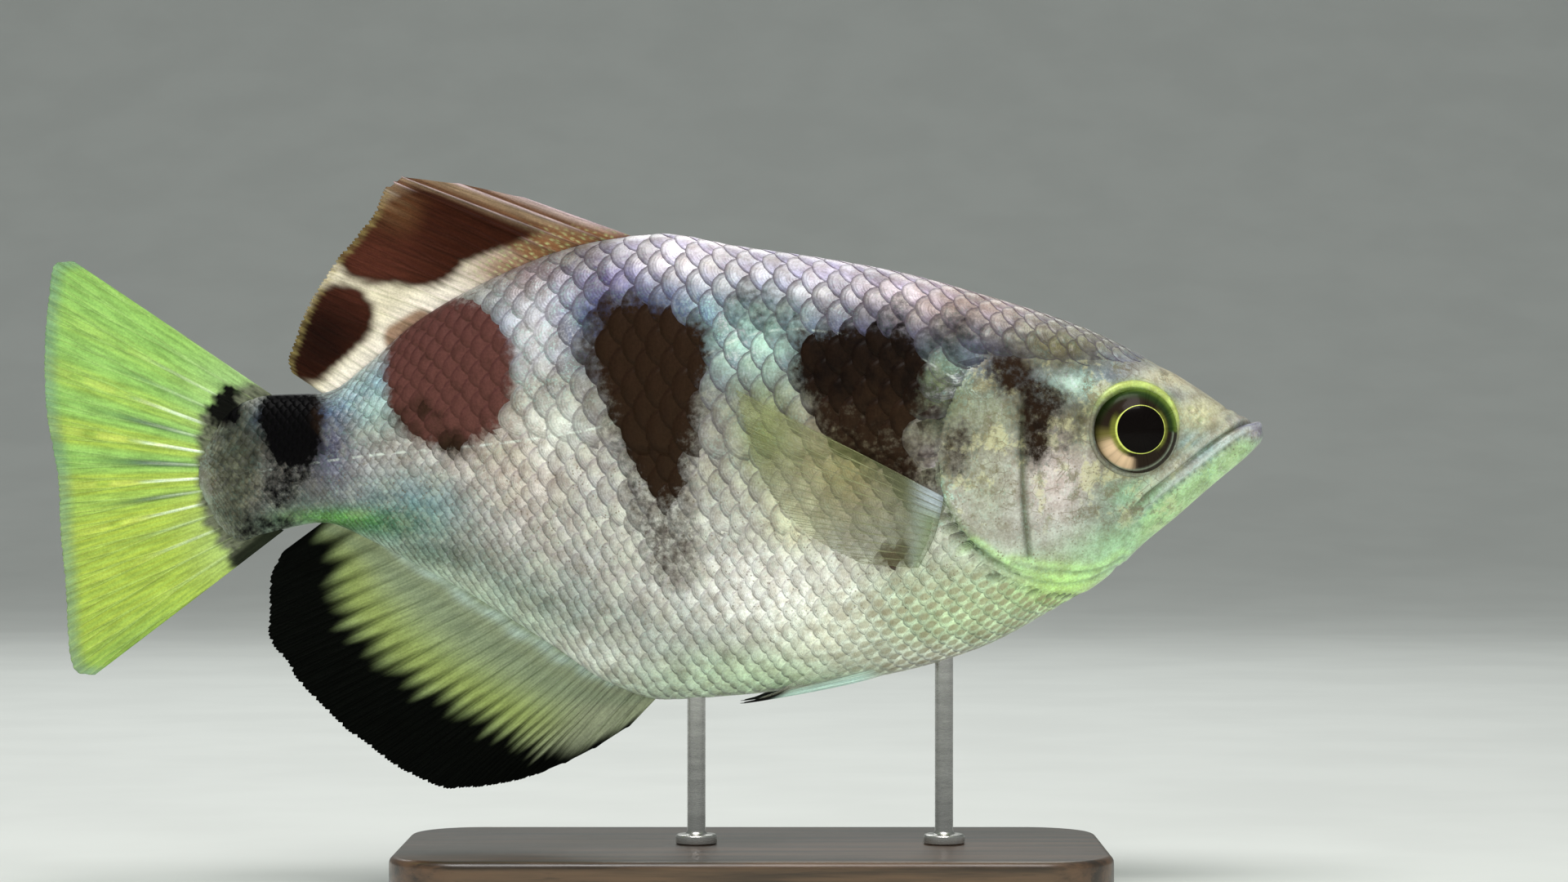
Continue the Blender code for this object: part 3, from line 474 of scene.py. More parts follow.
@dataclass(frozen=True)
class SkinRelief:
    """How far the skin stands off the body's plain form: in under the scales, out or in at folds and lips."""

    bare_inset: float = 0.08
    scaled_inset: float = 0.42
    gape_depth: float = 0.6
    lip_height: float = 0.3
    flap_height: float = 0.24
    slit_depth: float = 0.5
    fold_depth: float = 0.32
    socket_depth: float = 3.2
    socket_inner: float = 6.1
    socket_outer: float = 7.1
    nostril_depth: float = 0.6
    head_start: float = 40

    def scale_side(self, x: Array, z: Array) -> Array:
        """The distance from the edge of the scaled skin, above zero on the bare head."""
        edge = np.vstack([spline(SCALE_EDGE, 24), spline(SCALE_REAR, 36)])
        return line_field(x, z, edge)[0]

    def field(self, x: Array, z: Array) -> Array:
        """The skin's height over the plain form, in millimetres: a sum of humps about lines and points.

        Args:
            x: Places on the body.
            z: Their heights.

        Returns:
            The height at each place.
        """
        height = np.full(x.shape, -self.scaled_inset)
        head = x > self.head_start
        height[head] = self._head(x[head], z[head])
        return height

    def _head(self, x: Array, z: Array) -> Array:
        """The relief in front of head_start, where all the folds are.

        Args:
            x: Places on the head.
            z: Their heights.

        Returns:
            The height at each place.
        """
        bare = self.scale_side(x, z)
        height = -self.scaled_inset + (self.scaled_inset - self.bare_inset) * ease(-0.6, 0.3, bare)
        rear = line_field(x, z, spline(HEAD_REAR, 40))[0]
        low = ease(13, 9, z)
        height += self.flap_height * np.exp(-np.maximum(rear, 0) / 3.5) * ease(-0.35, 0.1, rear) * low
        height -= self.slit_depth * hump(rear + 0.45, 0.4) * ease(6, -2, z) * ease(66, 56, x)
        gape = line_field(x, z, spline([(103, 5), *GAPE], 50))[0]
        mouth = ease(77.2, 80, x)
        height -= mouth * self.gape_depth * hump(gape, 0.3)
        height += mouth * self.lip_height * (hump(gape - 0.85, 0.55) + 0.8 * hump(gape + 0.8, 0.55))
        height += mouth * (0.22 * hump(gape + 2.3, 0.9) - 0.2 * hump(gape + 3.5, 0.45))
        height -= mouth * 0.14 * hump(gape - 2.1, 0.5)
        height += 0.3 * hump(np.hypot(x - 98.9, z - 1.2), 1.3)
        crease = line_field(x, z, spline(PREOPERCLE, 20))[0]
        height -= self.fold_depth * 1.3 * hump(crease, 0.38)
        height += 0.18 * hump(crease + 1.1, 0.8) + 0.12 * hump(crease - 1.4, 1)
        for fold in GILL_FOLDS:
            height -= self.fold_depth * hump(line_field(x, z, spline(fold, 20))[0], 0.32)
        for nostril in NOSTRILS:
            away = np.hypot(x - nostril[0], z - nostril[1])
            height += 0.22 * hump(away - 0.75, 0.3) - self.nostril_depth * hump(away, 0.42)
        away = np.hypot(x - EYE_X, z - EYE_Z)
        height += 0.22 * hump(away - 8.6, 1.2)
        height -= 0.1 * hump(away - 10.6, 0.7) * ease(4, -2, z)
        height -= self.socket_depth * ease(self.socket_outer, self.socket_inner, away)
        cheek = ease(61.5, 63, x) * ease(76, 72, x) * ease(10, 6, z)
        ripple = np.sin(1.9 * x + 1.3 * np.sin(0.7 * z)) * np.sin(1.2 * z + 1.1 * np.sin(0.9 * x))
        return height + 0.05 * ripple * cheek


@dataclass
class BodySurface:
    """The skin's surface as a table over rings of x and equal steps of q, with points and normals."""

    form: BodyForm = field(default_factory=BodyForm)
    relief: SkinRelief = field(default_factory=SkinRelief)
    side_steps: int = 148
    dense: int = 480
    rings: Array = field(init=False)
    plain: Array = field(init=False)
    points: Array = field(init=False)
    normals: Array = field(init=False)
    girth: Array = field(init=False)

    def __post_init__(self) -> None:
        """Fills the table: first the plain form, then the same with the relief along its normals."""
        self.rings = np.concatenate([
            np.linspace(-73.8, 44, 128, endpoint=False), np.linspace(44, 96.5, 178, endpoint=False),
            96.5 + 3.45 * np.sin(np.linspace(0, math.pi / 2, 22))])
        self.plain = self._plain_form()
        normals = self._normals_of(self.plain)
        height = self.relief.field(*side_view(self.plain, self.form))
        self.points = self.plain + normals * height[..., None]
        self.normals = self._normals_of(self.points)

    @property
    def around(self) -> int:
        """How many columns of points go round the body."""
        return 2 * self.side_steps

    def _plain_form(self) -> Array:
        """Points of the plain form, with each section read at equal steps of its own length.

        Returns:
            The points, by ring and by column.
        """
        lean = np.linspace(0, 1, self.dense + 1)
        x = self.rings[:, None]
        away, height = self.form.half_section(x, math.pi * (0.5 + lean[None, :]))
        steps = np.hypot(np.diff(away, axis=1), np.diff(height, axis=1))
        run = np.concatenate([np.zeros((len(x), 1)), np.cumsum(steps, axis=1)], axis=1)
        self.girth = run[:, -1]
        lift = 2 * np.arange(len(x))[:, None]
        wanted = (lift + np.linspace(0, 1, self.side_steps + 1)[None, :]).ravel()
        found = np.interp(wanted, (lift + run / run[:, -1:]).ravel(), np.tile(lean, len(x)))
        away, height = self.form.half_section(x, math.pi * (0.5 + found.reshape(len(x), -1)))
        away = np.concatenate([-away, away[:, -2:0:-1]], axis=1)
        height = np.concatenate([height, height[:, -2:0:-1]], axis=1)
        wide = np.broadcast_to(x, away.shape)
        return np.stack([wide, self.form.bend(wide) + away, height], axis=-1)

    def _normals_of(self, points: Array) -> Array:
        """Outward normals: the way round crossed with the way along.

        Args:
            points: Points by ring and by column.

        Returns:
            Their unit normals.
        """
        around = np.roll(points, -1, axis=1) - np.roll(points, 1, axis=1)
        along = np.gradient(points, axis=0)
        return unit(np.cross(around, along))

    def at(self, x: Array, q: Array) -> tuple[Array, Array]:
        """Points and normals of the skin between the table's own, by straight shares.

        Args:
            x: Where along the body.
            q: Where round it.

        Returns:
            The points and the unit normals.
        """
        ring = np.interp(x, self.rings, np.arange(len(self.rings)))
        i = np.minimum(ring.astype(int), len(self.rings) - 2)
        f = (ring - i)[..., None]
        column = np.mod(q, 2) * self.side_steps
        whole = np.floor(column)
        g = (column - whole)[..., None]
        j = whole.astype(int) % self.around
        k = (j + 1) % self.around

        def between(table: Array) -> Array:
            """The table's value between four of its points."""
            low, high = ((1 - g) * table[row, j] + g * table[row, k] for row in (i, i + 1))
            return (1 - f) * low + f * high

        return between(self.points), unit(between(self.normals))

    def girth_at(self, x: Array) -> Array:
        """The length of the section from ridge to keel at x."""
        return np.interp(x, self.rings, self.girth)

    def bake_place(self, x: Array, q: Array) -> Array:
        """Where a place on the skin lies on its unwrap: x across it, and the way round up it."""
        low, high = self.rings[0] - 1, self.rings[-1] + 1
        return np.stack([(x - low) / (high - low), 0.005 + 0.99 * q / 2], axis=-1)


# Colours and marks of the hide

@dataclass(frozen=True)
class Spot:
    """A dark spot on the side, as a tapered streak from one place to another, stretched upwards.

    The depth inside it is the streak's radius less the distance from its middle line, over its softness.
    """

    start: tuple[float, float]
    end: tuple[float, float]
    radii: tuple[float, float]
    stretch: float = 1
    soft: float = 1
    most: float = 3
    russet: float = 0

    def depth(self, x: Array, z: Array) -> Array:
        """How deep places lie in the spot, in units of its softness; 0 on its edge.

        Args:
            x: Places on the body.
            z: Their heights.

        Returns:
            The depth at each place.
        """
        ax, az = self.start[0], self.start[1] / self.stretch
        bx, bz = self.end[0] - ax, self.end[1] / self.stretch - az
        dx, dz = x - ax, z / self.stretch - az
        t = np.clip((dx * bx + dz * bz) / max(bx * bx + bz * bz, 1e-9), 0, 1)
        radius = self.radii[0] + (self.radii[1] - self.radii[0]) * t
        inside = (radius - np.hypot(dx - t * bx, dz - t * bz)) / self.soft
        return np.clip(inside, -3, self.most)


@dataclass(frozen=True)
class Wash:
    """A soft patch of one colour: its share falls off as a bell curve in x and in height.

    The share at its middle and the colour are in hundredths.
    """

    name: str
    x: float
    z: float
    half_x: float
    half_z: float
    share: float
    red: float = 0
    green: float = 0
    blue: float = 0

    def layer(self, x: Array, z: Array) -> tuple[Array, Array]:
        """The patch's colour, and its share at each place."""
        share = self.share / 100 * hump(x - self.x, self.half_x) * hump(z - self.z, self.half_z)
        return np.array((self.red, self.green, self.blue)) / 100, share


@dataclass(frozen=True)
class Markings:
    """The hide's colours and marks, as fields over the side of the fish that skin and scales both read."""

    form: BodyForm
    relief: SkinRelief
    # The tint by height on the body, from keel to ridge. It was matched to the colours as lit, so besides the
    # fish's own colours it holds painted light and shade: darker on the belly and the upper flank, and pale
    # green on the keel as painted light reflected from below.
    heights: Points = (
        (0, 0.6, 0.7, 0.62),
        (0.1, 0.25, 0.29, 0.27),
        (0.26, 0.35, 0.33, 0.35),
        (0.45, 0.37, 0.34, 0.35),
        (0.66, 0.19, 0.18, 0.17),
        (0.84, 0.05, 0.09, 0.22),
        (1, 0.38, 0.4, 0.37),
    )
    # Washes of colour, matched to the colours as lit. Besides the fish's own colours they hold painted light
    # and shade: those named shade are painted shade, and those named light are painted light.
    washes: tuple[Wash, ...] = tuple(Wash(*row) for row in (
        ("front back", 50, 24, 22, 7, 80, 47, 33, 30), ("mid back", 26, 28, 14, 5, 80, 72, 65, 79),
        # The rear back's lilac, with a painted highlight from the top light over it.
        ("rear back lilac and sheen", 6, 31.5, 14, 4.5, 90, 92, 84, 92),
        ("purple shoulder", -7.6, 27, 7.5, 4.5, 80, 13, 10, 25),
        ("fin foot", -20.5, 27.4, 7.5, 4.6, 92, 9, 3, 3), ("rear fin foot", -38, 20, 10, 3.5, 60, 70, 66, 60),
        ("rear upper", -20, 18, 5, 8, 75, 75, 71, 77), ("upper window", 17, 17.5, 9, 7, 80, 47, 70, 62),
        ("shoulder window", 47, 9.5, 5, 6, 70, 20, 29, 12), ("yellow patch", 17.9, 0, 4.5, 9, 75, 17, 24, 3),
        ("under pectoral", 31, -6, 10, 9, 60, 46, 34, 9), ("mid flank", 0, -12, 16, 12, 70, 54, 53, 53),
        ("rear flank", -26, -6, 12, 10, 70, 55, 44, 43), ("low flank", 24, -26, 20, 9, 80, 92, 87, 92),
        ("stalk upper", -47, 7, 6, 5, 70, 40, 59, 63), ("stalk lower", -40, -11, 11, 6, 70, 5, 20, 26),
        ("stalk edge", -50, -13.8, 12, 2.6, 85, 3, 14, 3),
        ("stalk glow", -53.5, -12.4, 7, 1.3, 60, 17, 51, 5), ("belly rear", -14, -36, 16, 5, 70, 86, 82, 85),
        ("belly", 20, -39, 16, 4, 80, 67, 85, 63), ("breast", 50, -28, 14, 8, 90, 68, 85, 58),
        ("belly edge", 50, -36.5, 18, 3, 90, 92, 92, 92), ("throat", 68, -24, 9, 4, 90, 48, 72, 22),
        ("gill membrane", 78, -17, 9, 5.5, 90, 38, 63, 38), ("cheek", 67, -6.5, 6.5, 7.5, 90, 57, 47, 51),
        ("rear cheek", 74.5, -11, 5, 5, 70, 14, 14, 14), ("under eye", 80, -8.5, 6, 3.5, 70, 24, 46, 27),
        ("opercle", 54.5, -7, 5, 9, 80, 27, 27, 22), ("upper opercle", 55.5, 5, 5, 5, 80, 22, 23.5, 17),
        ("behind eye", 70, 3, 3, 6, 70, 12, 12, 5), ("nape", 66, 15, 10, 4.5, 90, 19, 17.5, 7.5),
        ("silver brow", 68.7, 9.2, 4.5, 2.2, 90, 46, 61, 56), ("snout", 90, 5, 6, 3.5, 85, 61, 57, 36),
        ("snout ridge", 86, 10.5, 8, 2, 80, 70, 64, 44), ("upper lip", 89, -1, 5, 2.5, 70, 15, 31, 33),
        ("peduncle", -53.5, -2, 5, 8, 80, 3, 3, 11), ("caudal base", -68.5, -3, 5.5, 9, 90, 3, 4, 3),
        ("shoulder crest", 42, 24.8, 5.5, 2.4, 75, 86, 74, 82),
        ("shoulder shade", 32.2, 21, 7, 2.8, 85, 9, 9, 12), ("nape shade", 50, 17.6, 3.5, 1.8, 60, 7, 5.5, 4),
        ("fin foot blue", -14.8, 24.4, 3, 2.2, 75, 42, 40, 50),
        ("fin foot brown", -12, 31.6, 5, 2.2, 65, 13, 9, 6.5),
        ("blotch shade", -26, -2.4, 3.6, 3.6, 60, 22, 19, 16),
        ("stalk shade", -57, -9.4, 4, 2.4, 55, 3, 5, 4), ("eye shade", 74.2, -4.6, 3, 2.8, 60, 10, 9, 5),
        ("blotch side", 9.4, -6, 3.2, 5, 50, 20, 18, 13),
        ("pectoral light", 23.5, -12.5, 4.2, 5, 60, 95, 92, 66),
        ("crest shade", 19, 25.4, 4.5, 1.7, 50, 22, 23, 30), ("rear light", -16, 2, 4.2, 5, 60, 90, 92, 92),
        ("anal root shade", -36.5, -18.8, 7.5, 2.6, 55, 5, 10, 7),
        ("breast light", 28, -32, 9, 4.5, 75, 97, 97, 90),
        ("breast shade", 44.5, -24, 5.5, 4.5, 60, 40, 42, 34),
    ))
    shimmers: tuple[Wash, ...] = tuple(Wash(*row) for row in (
        ("upper window", 15, 18.5, 11, 6, 90), ("shoulder window", 47, 10.5, 6, 5, 60),
        ("silver brow", 69, 9.4, 4.5, 2.6, 100), ("fin foot", -24, 26, 8, 3, 30),
        ("stalk upper", -48, 7.5, 6, 6, 55), ("pectoral foot", 47, -10, 3.5, 4, 90),
        ("rear upper", -17, 17, 8, 12, 65), ("upper lip", 90, -4, 6, 4, 40),
    ))
    spots: tuple[Spot, ...] = (
        Spot((-59.8, 4.3), (-59.4, 0), (5.7, 5), 1, 1.1, 3.6),
        Spot((-56.2, 4.6), (-56.4, 3), (1.3, 1.4), 1.2, 1.2, 1.6, 0.35),
        Spot((-59.3, -4), (-62, -8.5), (3.8, 2.8), 1, 2.2, 0.5),
        Spot((-66.5, 1), (-66.5, -10), (3.6, 3.2), 1, 3, -0.2),
        Spot((-66, -14.5), (-60, -13.6), (2.4, 1.2), 1, 2, 0.4),
        Spot((-69.4, 7.2), (-69.9, 4.8), (1.5, 2.3), 1, 0.8),
        Spot((-33.4, 11.6), (-33.9, 10.8), (10.4, 10.4), 1.17, 1, 3, 1),
        Spot((-38.2, 6), (-33.4, 1.4), (5, 3.8), 1, 1.3, 4.3),
        Spot((-39.2, 15.2), (-38.2, 16.2), (4.4, 4.4), 1, 1, 3, 1),
        Spot((-3.8, 16.5), (3.2, 14.5), (6.4, 6.4), 1, 1.2, 3, 0.16),
        Spot((-8, 20.4), (-3.5, 21.2), (3, 2.8), 1, 1.6, 0.6, 0.1),
        Spot((-1.2, 14), (0.6, 5), (8.9, 7), 1, 1.3, 3, 0.16),
        Spot((-0.4, 4), (2, -7), (7, 3.8), 1, 1.6, 2.4, 0.12),
        Spot((0.6, -8), (3.5, -20), (4.4, 2.4), 1, 3, 0, 0.3),
        Spot((-10.6, 12.6), (-10.9, 15.6), (1.6, 1.7), 1, 1.1, 0.3, 0.1),
        Spot((29.5, 12), (37.5, 11), (6.3, 7.6), 1, 1.1, 3, 0.05),
        Spot((36.5, 8), (39.5, 5.4), (5.6, 4.4), 1, 1.3, 3, 0.1),
        Spot((32.5, 5), (43.4, -8.8), (6.3, 1.9), 1, 1.5, 1, 0.1),
        Spot((43.4, -9), (44.8, -9.8), (1.3, 1.1), 1, 1, 2),
        Spot((24, 14.5), (23, 17.5), (1.5, 1.4), 1, 1.1, 0.3, 0.1),
        Spot((57.8, 12.5), (59, 10.8), (3.1, 3.1), 1, 1.6, 0.8, 0.1),
        Spot((60.5, 9.5), (64.8, 6.6), (1.8, 2.6), 1, 1.6, 0.6, 0.08),
        Spot((62.8, 5), (62.5, -1.6), (3.1, 2), 1, 1.6, 0.9, 0.08),
        Spot((67.5, 4.5), (66, 1), (2, 1.6), 1, 2.2, -0.4, 0.1),
        Spot((49.8, 0.5), (49, -4), (1.8, 1.4), 1, 1.8, 0.1, 0.1),
        Spot((44.8, 8), (43.6, 1), (3.2, 2.6), 1, 2.6, -0.1, 0.1),
        Spot((58, 15.6), (70, 13.4), (1.8, 1.4), 1, 1.8, -0.55, 0.1),
        Spot((15.5, 21.5), (20.5, 20.5), (2.9, 2.7), 1, 2, -0.15),
        Spot((47.5, 17), (50.5, 18.5), (2.6, 2.2), 1, 2, 0),
        Spot((38, 20), (41, 21), (1.8, 1.6), 1, 1.8, -0.1),
        Spot((38.5, -19), (40.6, -18.6), (1.7, 1.7), 1, 0.9, 1.4, 0.6),
    )
    jaw_colour: Colour = (0.38, 0.58, 0.3)
    jaw_edge: Colour = (0.5, 0.8, 0.31)
    lip_colour: Colour = (0.6, 0.66, 0.7)
    dash_colour: Colour = (0.12, 0.17, 0.15)
    chin_colour: Colour = (0.21, 0.17, 0.26)
    lid_colour: Colour = (0.42, 0.5, 0.15)
    upper_lip: Colour = (0.46, 0.42, 0.38)
    crease_shade: Colour = (0.22, 0.2, 0.15)
    groove_shade: Colour = (0.085, 0.09, 0.055)
    seam_shade: Colour = (0.15, 0.22, 0.12)
    tail_foot: Colour = (0.115, 0.12, 0.088)

    def tint(self, x: Array, z: Array) -> Array:
        """The hide's colour with painted light and shade: by height on the body, then by washes and the jaw's
        own lines, with painted shade in the head's grooves and creases.

        Args:
            x: Places on the body.
            z: Their heights.

        Returns:
            Red, green and blue at each place, and the strength of the brown spot in each scale there.
        """
        share = self.form.height_share(x, z)
        stops = np.array(self.heights)
        base = np.stack([np.interp(share, stops[:, 0], stops[:, c]) for c in (1, 2, 3)], axis=-1)
        gape, along = line_field(x, z, spline([(103, 5), *GAPE, (77.6, -14)], 40))
        front = ease(77.5, 80.5, x)
        dashes = ease(-0.2, 0.7, np.sin(4.4 * along + np.sin(1.7 * along)))
        crease = line_field(x, z, spline(PREOPERCLE, 20))[0]
        rear = line_field(x, z, spline(HEAD_REAR, 40))[0]
        seam = ease(0, -7, z) * ease(64, 54, x)
        folds = []
        # Each gill fold: a band of the jaw's green beside it, and painted shade in the fold.
        for fold in GILL_FOLDS:
            away = line_field(x, z, spline(fold, 20))[0]
            folds += [(self.jaw_edge, 0.4 * hump(away - 1, 0.6)), (self.seam_shade, 0.5 * hump(away, 0.32))]
        eye = np.hypot(x - EYE_X, z - EYE_Z)
        top = ease(0.15, 0.75, (z - EYE_Z) / np.maximum(eye, 0.1))
        return layered(base, [
            *(wash.layer(x, z) for wash in self.washes),
            (self.jaw_colour, front * ease(0.6, 3.4, gape) * 0.85),
            (self.jaw_edge, front * ease(4.2, 7, gape) * 0.8),
            (self.lip_colour, front * hump(gape - 1.15, 0.42) * ease(76, 90, x) * 0.85),
            (self.dash_colour, front * dashes * hump(gape - 1.9, 0.45) * 0.6),
            (self.upper_lip, front * hump(gape + 1.1, 0.8) * 0.55),
            # Painted shade in the groove above the upper lip.
            (self.crease_shade, front * hump(gape + 2.5, 0.35) * ease(93, 90, x) * 0.7),
            # Painted shade in the groove of the gape.
            (self.groove_shade, front * hump(gape + 0.05, 0.3) * 0.7),
            (self.chin_colour, hump(np.hypot(x - 98.9, z - 1.4), 2) * 0.9),
            # Painted shade in the preopercle's crease, on its lower part.
            (self.groove_shade, 0.85 * hump(crease + 0.1, 0.75) * ease(9, 5, z)),
            # Painted shade along the gill cover's lower rear edge.
            (self.seam_shade, 0.7 * hump(rear + 0.2, 1.2) * seam), *folds,
            (self.lid_colour, 0.75 * hump(eye - 7.4, 0.9) * top),
            # Painted shade round the eye socket's edge, except at its top.
            (self.crease_shade, 0.7 * hump(eye - 7.2, 0.6) * (1 - top)),
            (self.tail_foot, 0.85 * ease(-63.5, -69, x)),
        ], ease(0.3, 0.16, share) * ease(20, 40, x))

    def marks(self, x: Array, z: Array) -> Array:
        """Depth in the dark spots, how russet they are, and the distance from the lateral line.

        Args:
            x: Places on the body.
            z: Their heights.

        Returns:
            The three numbers at each place.
        """
        depth, weight, russet = np.full(x.shape, -3), np.full(x.shape, 1e-6), np.zeros(x.shape)
        for spot in self.spots:
            found = spot.depth(x, z)
            pull = np.exp(2 * found)
            weight += pull
            russet += pull * spot.russet
            depth = np.maximum(depth, found)
        line = line_field(x, z, spline(LATERAL_LINE, 40))[0]
        return np.stack([depth, russet / weight, np.clip(line, -4, 4)], axis=-1)

    def mottle(self, x: Array, z: Array) -> Array:
        """How strongly the bare head is mottled: most on cheek and gill cover, little on snout and throat."""
        front = ease(42, 48, x) * (1 - 0.55 * ease(82, 88, x))
        return front * ease(-18, -11, z) * (0.35 + 0.65 * ease(18, 12, z))

    def lustre(self, x: Array, z: Array) -> Array:
        """Strength of the shimmer, of the fine dots, and of the scales' dark rims.

        Args:
            x: Places on the body.
            z: Their heights.

        Returns:
            The three numbers at each place.
        """
        share = self.form.height_share(x, z)
        shine = np.full(x.shape, 0.18)
        for wash in self.shimmers:
            shine = np.maximum(shine, wash.layer(x, z)[1])
        dots = 0.25 + 0.75 * ease(0.05, 0.25, share) * ease(0.62, 0.45, share)
        rim = 0.1 + 0.9 * ease(-22, -8, x) * (
            0.42 * ease(-15, -7, z) + 0.58 * ease(0.58, 0.74, share))
        return np.stack([shine, dots, rim], axis=-1)


# Shader tools

class NodePen:
    """Places nodes in one tree and wires them, so that a finish reads as a list of steps."""

    def __init__(self, tree: bpy.types.NodeTree) -> None:
        """Starts on an emptied tree."""
        tree.nodes.clear()
        self.tree, self.count = tree, 0

    def add(self, kind: str, inputs: Optional[dict] = None, **settings: object) -> bpy.types.Node:
        """Places one node.

        Args:
            kind: The node's type.
            inputs: What feeds its sockets, by name or by number.
            settings: Its own settings.

        Returns:
            The node.
        """
        node = self.tree.nodes.new(kind)
        node.location = (190 * (self.count // 7), -170 * (self.count % 7))
        self.count += 1
        for name, value in settings.items():
            setattr(node, name, value)
        self.feed(node, inputs or {})
        return node

    def feed(self, node: bpy.types.Node, inputs: dict) -> None:
        """Wires a node's inputs to sockets, and sets those that get a value.

        Args:
            node: The node.
            inputs: A socket, a number or a colour for each input, by name or by number.
        """
        for name, value in inputs.items():
            socket = node.inputs[name]
            if isinstance(value, Socket):
                self.tree.links.new(value, socket)
            elif isinstance(value, tuple) and socket.type == "RGBA" and len(value) == 3:
                socket.default_value = (*value, 1)
            else:
                socket.default_value = value

    def math(self, operation: str, *values: Feed) -> Socket:
        """One sum on numbers."""
        return self.add("ShaderNodeMath", dict(enumerate(values)), operation=operation).outputs[0]

    def plus(self, first: Feed, second: Feed) -> Socket:
        """The sum of two numbers."""
        return self.math("ADD", first, second)

    def minus(self, first: Feed, second: Feed) -> Socket:
        """The first number less the second."""
        return self.math("SUBTRACT", first, second)

    def times(self, product: Feed, *others: Feed) -> Feed:
        """Numbers multiplied in turn.

        Args:
            product: The first.
            others: The rest.

        Returns:
            Their product.
        """
        for other in others:
            product = self.math("MULTIPLY", product, other)
        return product

    def mix(self, share: Feed, low: Feed, high: Feed, blend: str = "MIX") -> Socket:
        """Two colours mixed by a share."""
        node = self.add("ShaderNodeMix", {0: share, 6: low, 7: high}, data_type="RGBA", blend_type=blend)
        return node.outputs[2]

    def tinted(self, colour: Feed, by: Feed) -> Socket:
        """A colour multiplied by another one, or by a number."""
        return self.mix(1, colour, by, "MULTIPLY")

    def step(self, value: Feed, low: float, high: float, least: Feed = 0, most: Feed = 1) -> Socket:
        """A soft step of a value from least to most, between low and high."""
        fed = {0: value, 1: low, 2: high, 3: least, 4: most}
        return self.add("ShaderNodeMapRange", fed, interpolation_type="SMOOTHSTEP").outputs[0]

    def noise(self, vector: Socket, scale: float, detail: float = 2, rough: float = 0.5) -> Socket:
        """Cloudy noise, about 0.5 on average."""
        fed = {"Vector": vector, "Scale": scale, "Detail": detail, "Roughness": rough}
        return self.add("ShaderNodeTexNoise", fed).outputs[0]

    def cells(self, vector: Socket, scale: float, feature: str = "F1") -> Socket:
        """The distance from the nearest of scattered points, or from the edge between two of them."""
        fed = {"Vector": vector, "Scale": scale}
        return self.add("ShaderNodeTexVoronoi", fed, feature=feature).outputs["Distance"]

    def read(self, name: str, kind: str = "Vector") -> Socket:
        """An attribute of the mesh."""
        return self.add("ShaderNodeAttribute", attribute_name=name).outputs[kind]

    def split(self, vector: Socket) -> tuple[Socket, Socket, Socket]:
        """The three numbers of a vector."""
        return tuple(self.add("ShaderNodeSeparateXYZ", {0: vector}).outputs)

    def place(self, stretch: tuple[float, float, float] = (1, 1, 1)) -> Socket:
        """The place on the object in millimetres, with each axis stretched."""
        fed = {0: self.add("ShaderNodeTexCoord").outputs["Object"], 1: tuple(s / MM for s in stretch)}
        return self.add("ShaderNodeVectorMath", fed, operation="MULTIPLY").outputs[0]

    def bump(self, height: Socket, depth: float, strength: float = 1) -> Socket:
        """A normal from a height whose full step is depth millimetres."""
        fed = {"Height": height, "Distance": depth * MM, "Strength": strength}
        return self.add("ShaderNodeBump", fed).outputs[0]


class NodeGroup:
    """A shared shader group with named inputs and outputs, built once."""

    made: dict[str, bpy.types.NodeTree] = {}

    def __init__(self, name: str, inputs: dict[str, Union[str, tuple]], outputs: dict[str, str]) -> None:
        """Makes the group's tree and its sockets.

        Args:
            name: The group's name.
            inputs: Each input's kind of socket, or its kind and its default.
            outputs: Each output's kind of socket.
        """
        tree = bpy.data.node_groups.new(name, "ShaderNodeTree")
        for label, kind in inputs.items():
            kind, default = kind if isinstance(kind, tuple) else (kind, None)
            socket = tree.interface.new_socket(label, in_out="INPUT", socket_type="NodeSocket" + kind)
            if default is not None:
                socket.default_value = default
        for label, kind in outputs.items():
            tree.interface.new_socket(label, in_out="OUTPUT", socket_type="NodeSocket" + kind)
        self.pen = NodePen(tree)
        self.inputs = self.pen.add("NodeGroupInput").outputs
        self.exit = self.pen.add("NodeGroupOutput")
        NodeGroup.made[name] = tree

    @staticmethod
    def use(pen: NodePen, name: str, inputs: dict[str, Feed]) -> bpy.types.NodeOutputs:
        """Places a group in a material with its own values.

        Args:
            pen: A pen on the material's tree.
            name: The group's name.
            inputs: What feeds the group's inputs.

        Returns:
            The group's outputs.
        """
        if name not in NodeGroup.made:
            GROUP_MAKERS[name]()
        node = pen.add("ShaderNodeGroup", node_tree=NodeGroup.made[name])
        pen.feed(node, inputs)
        return node.outputs


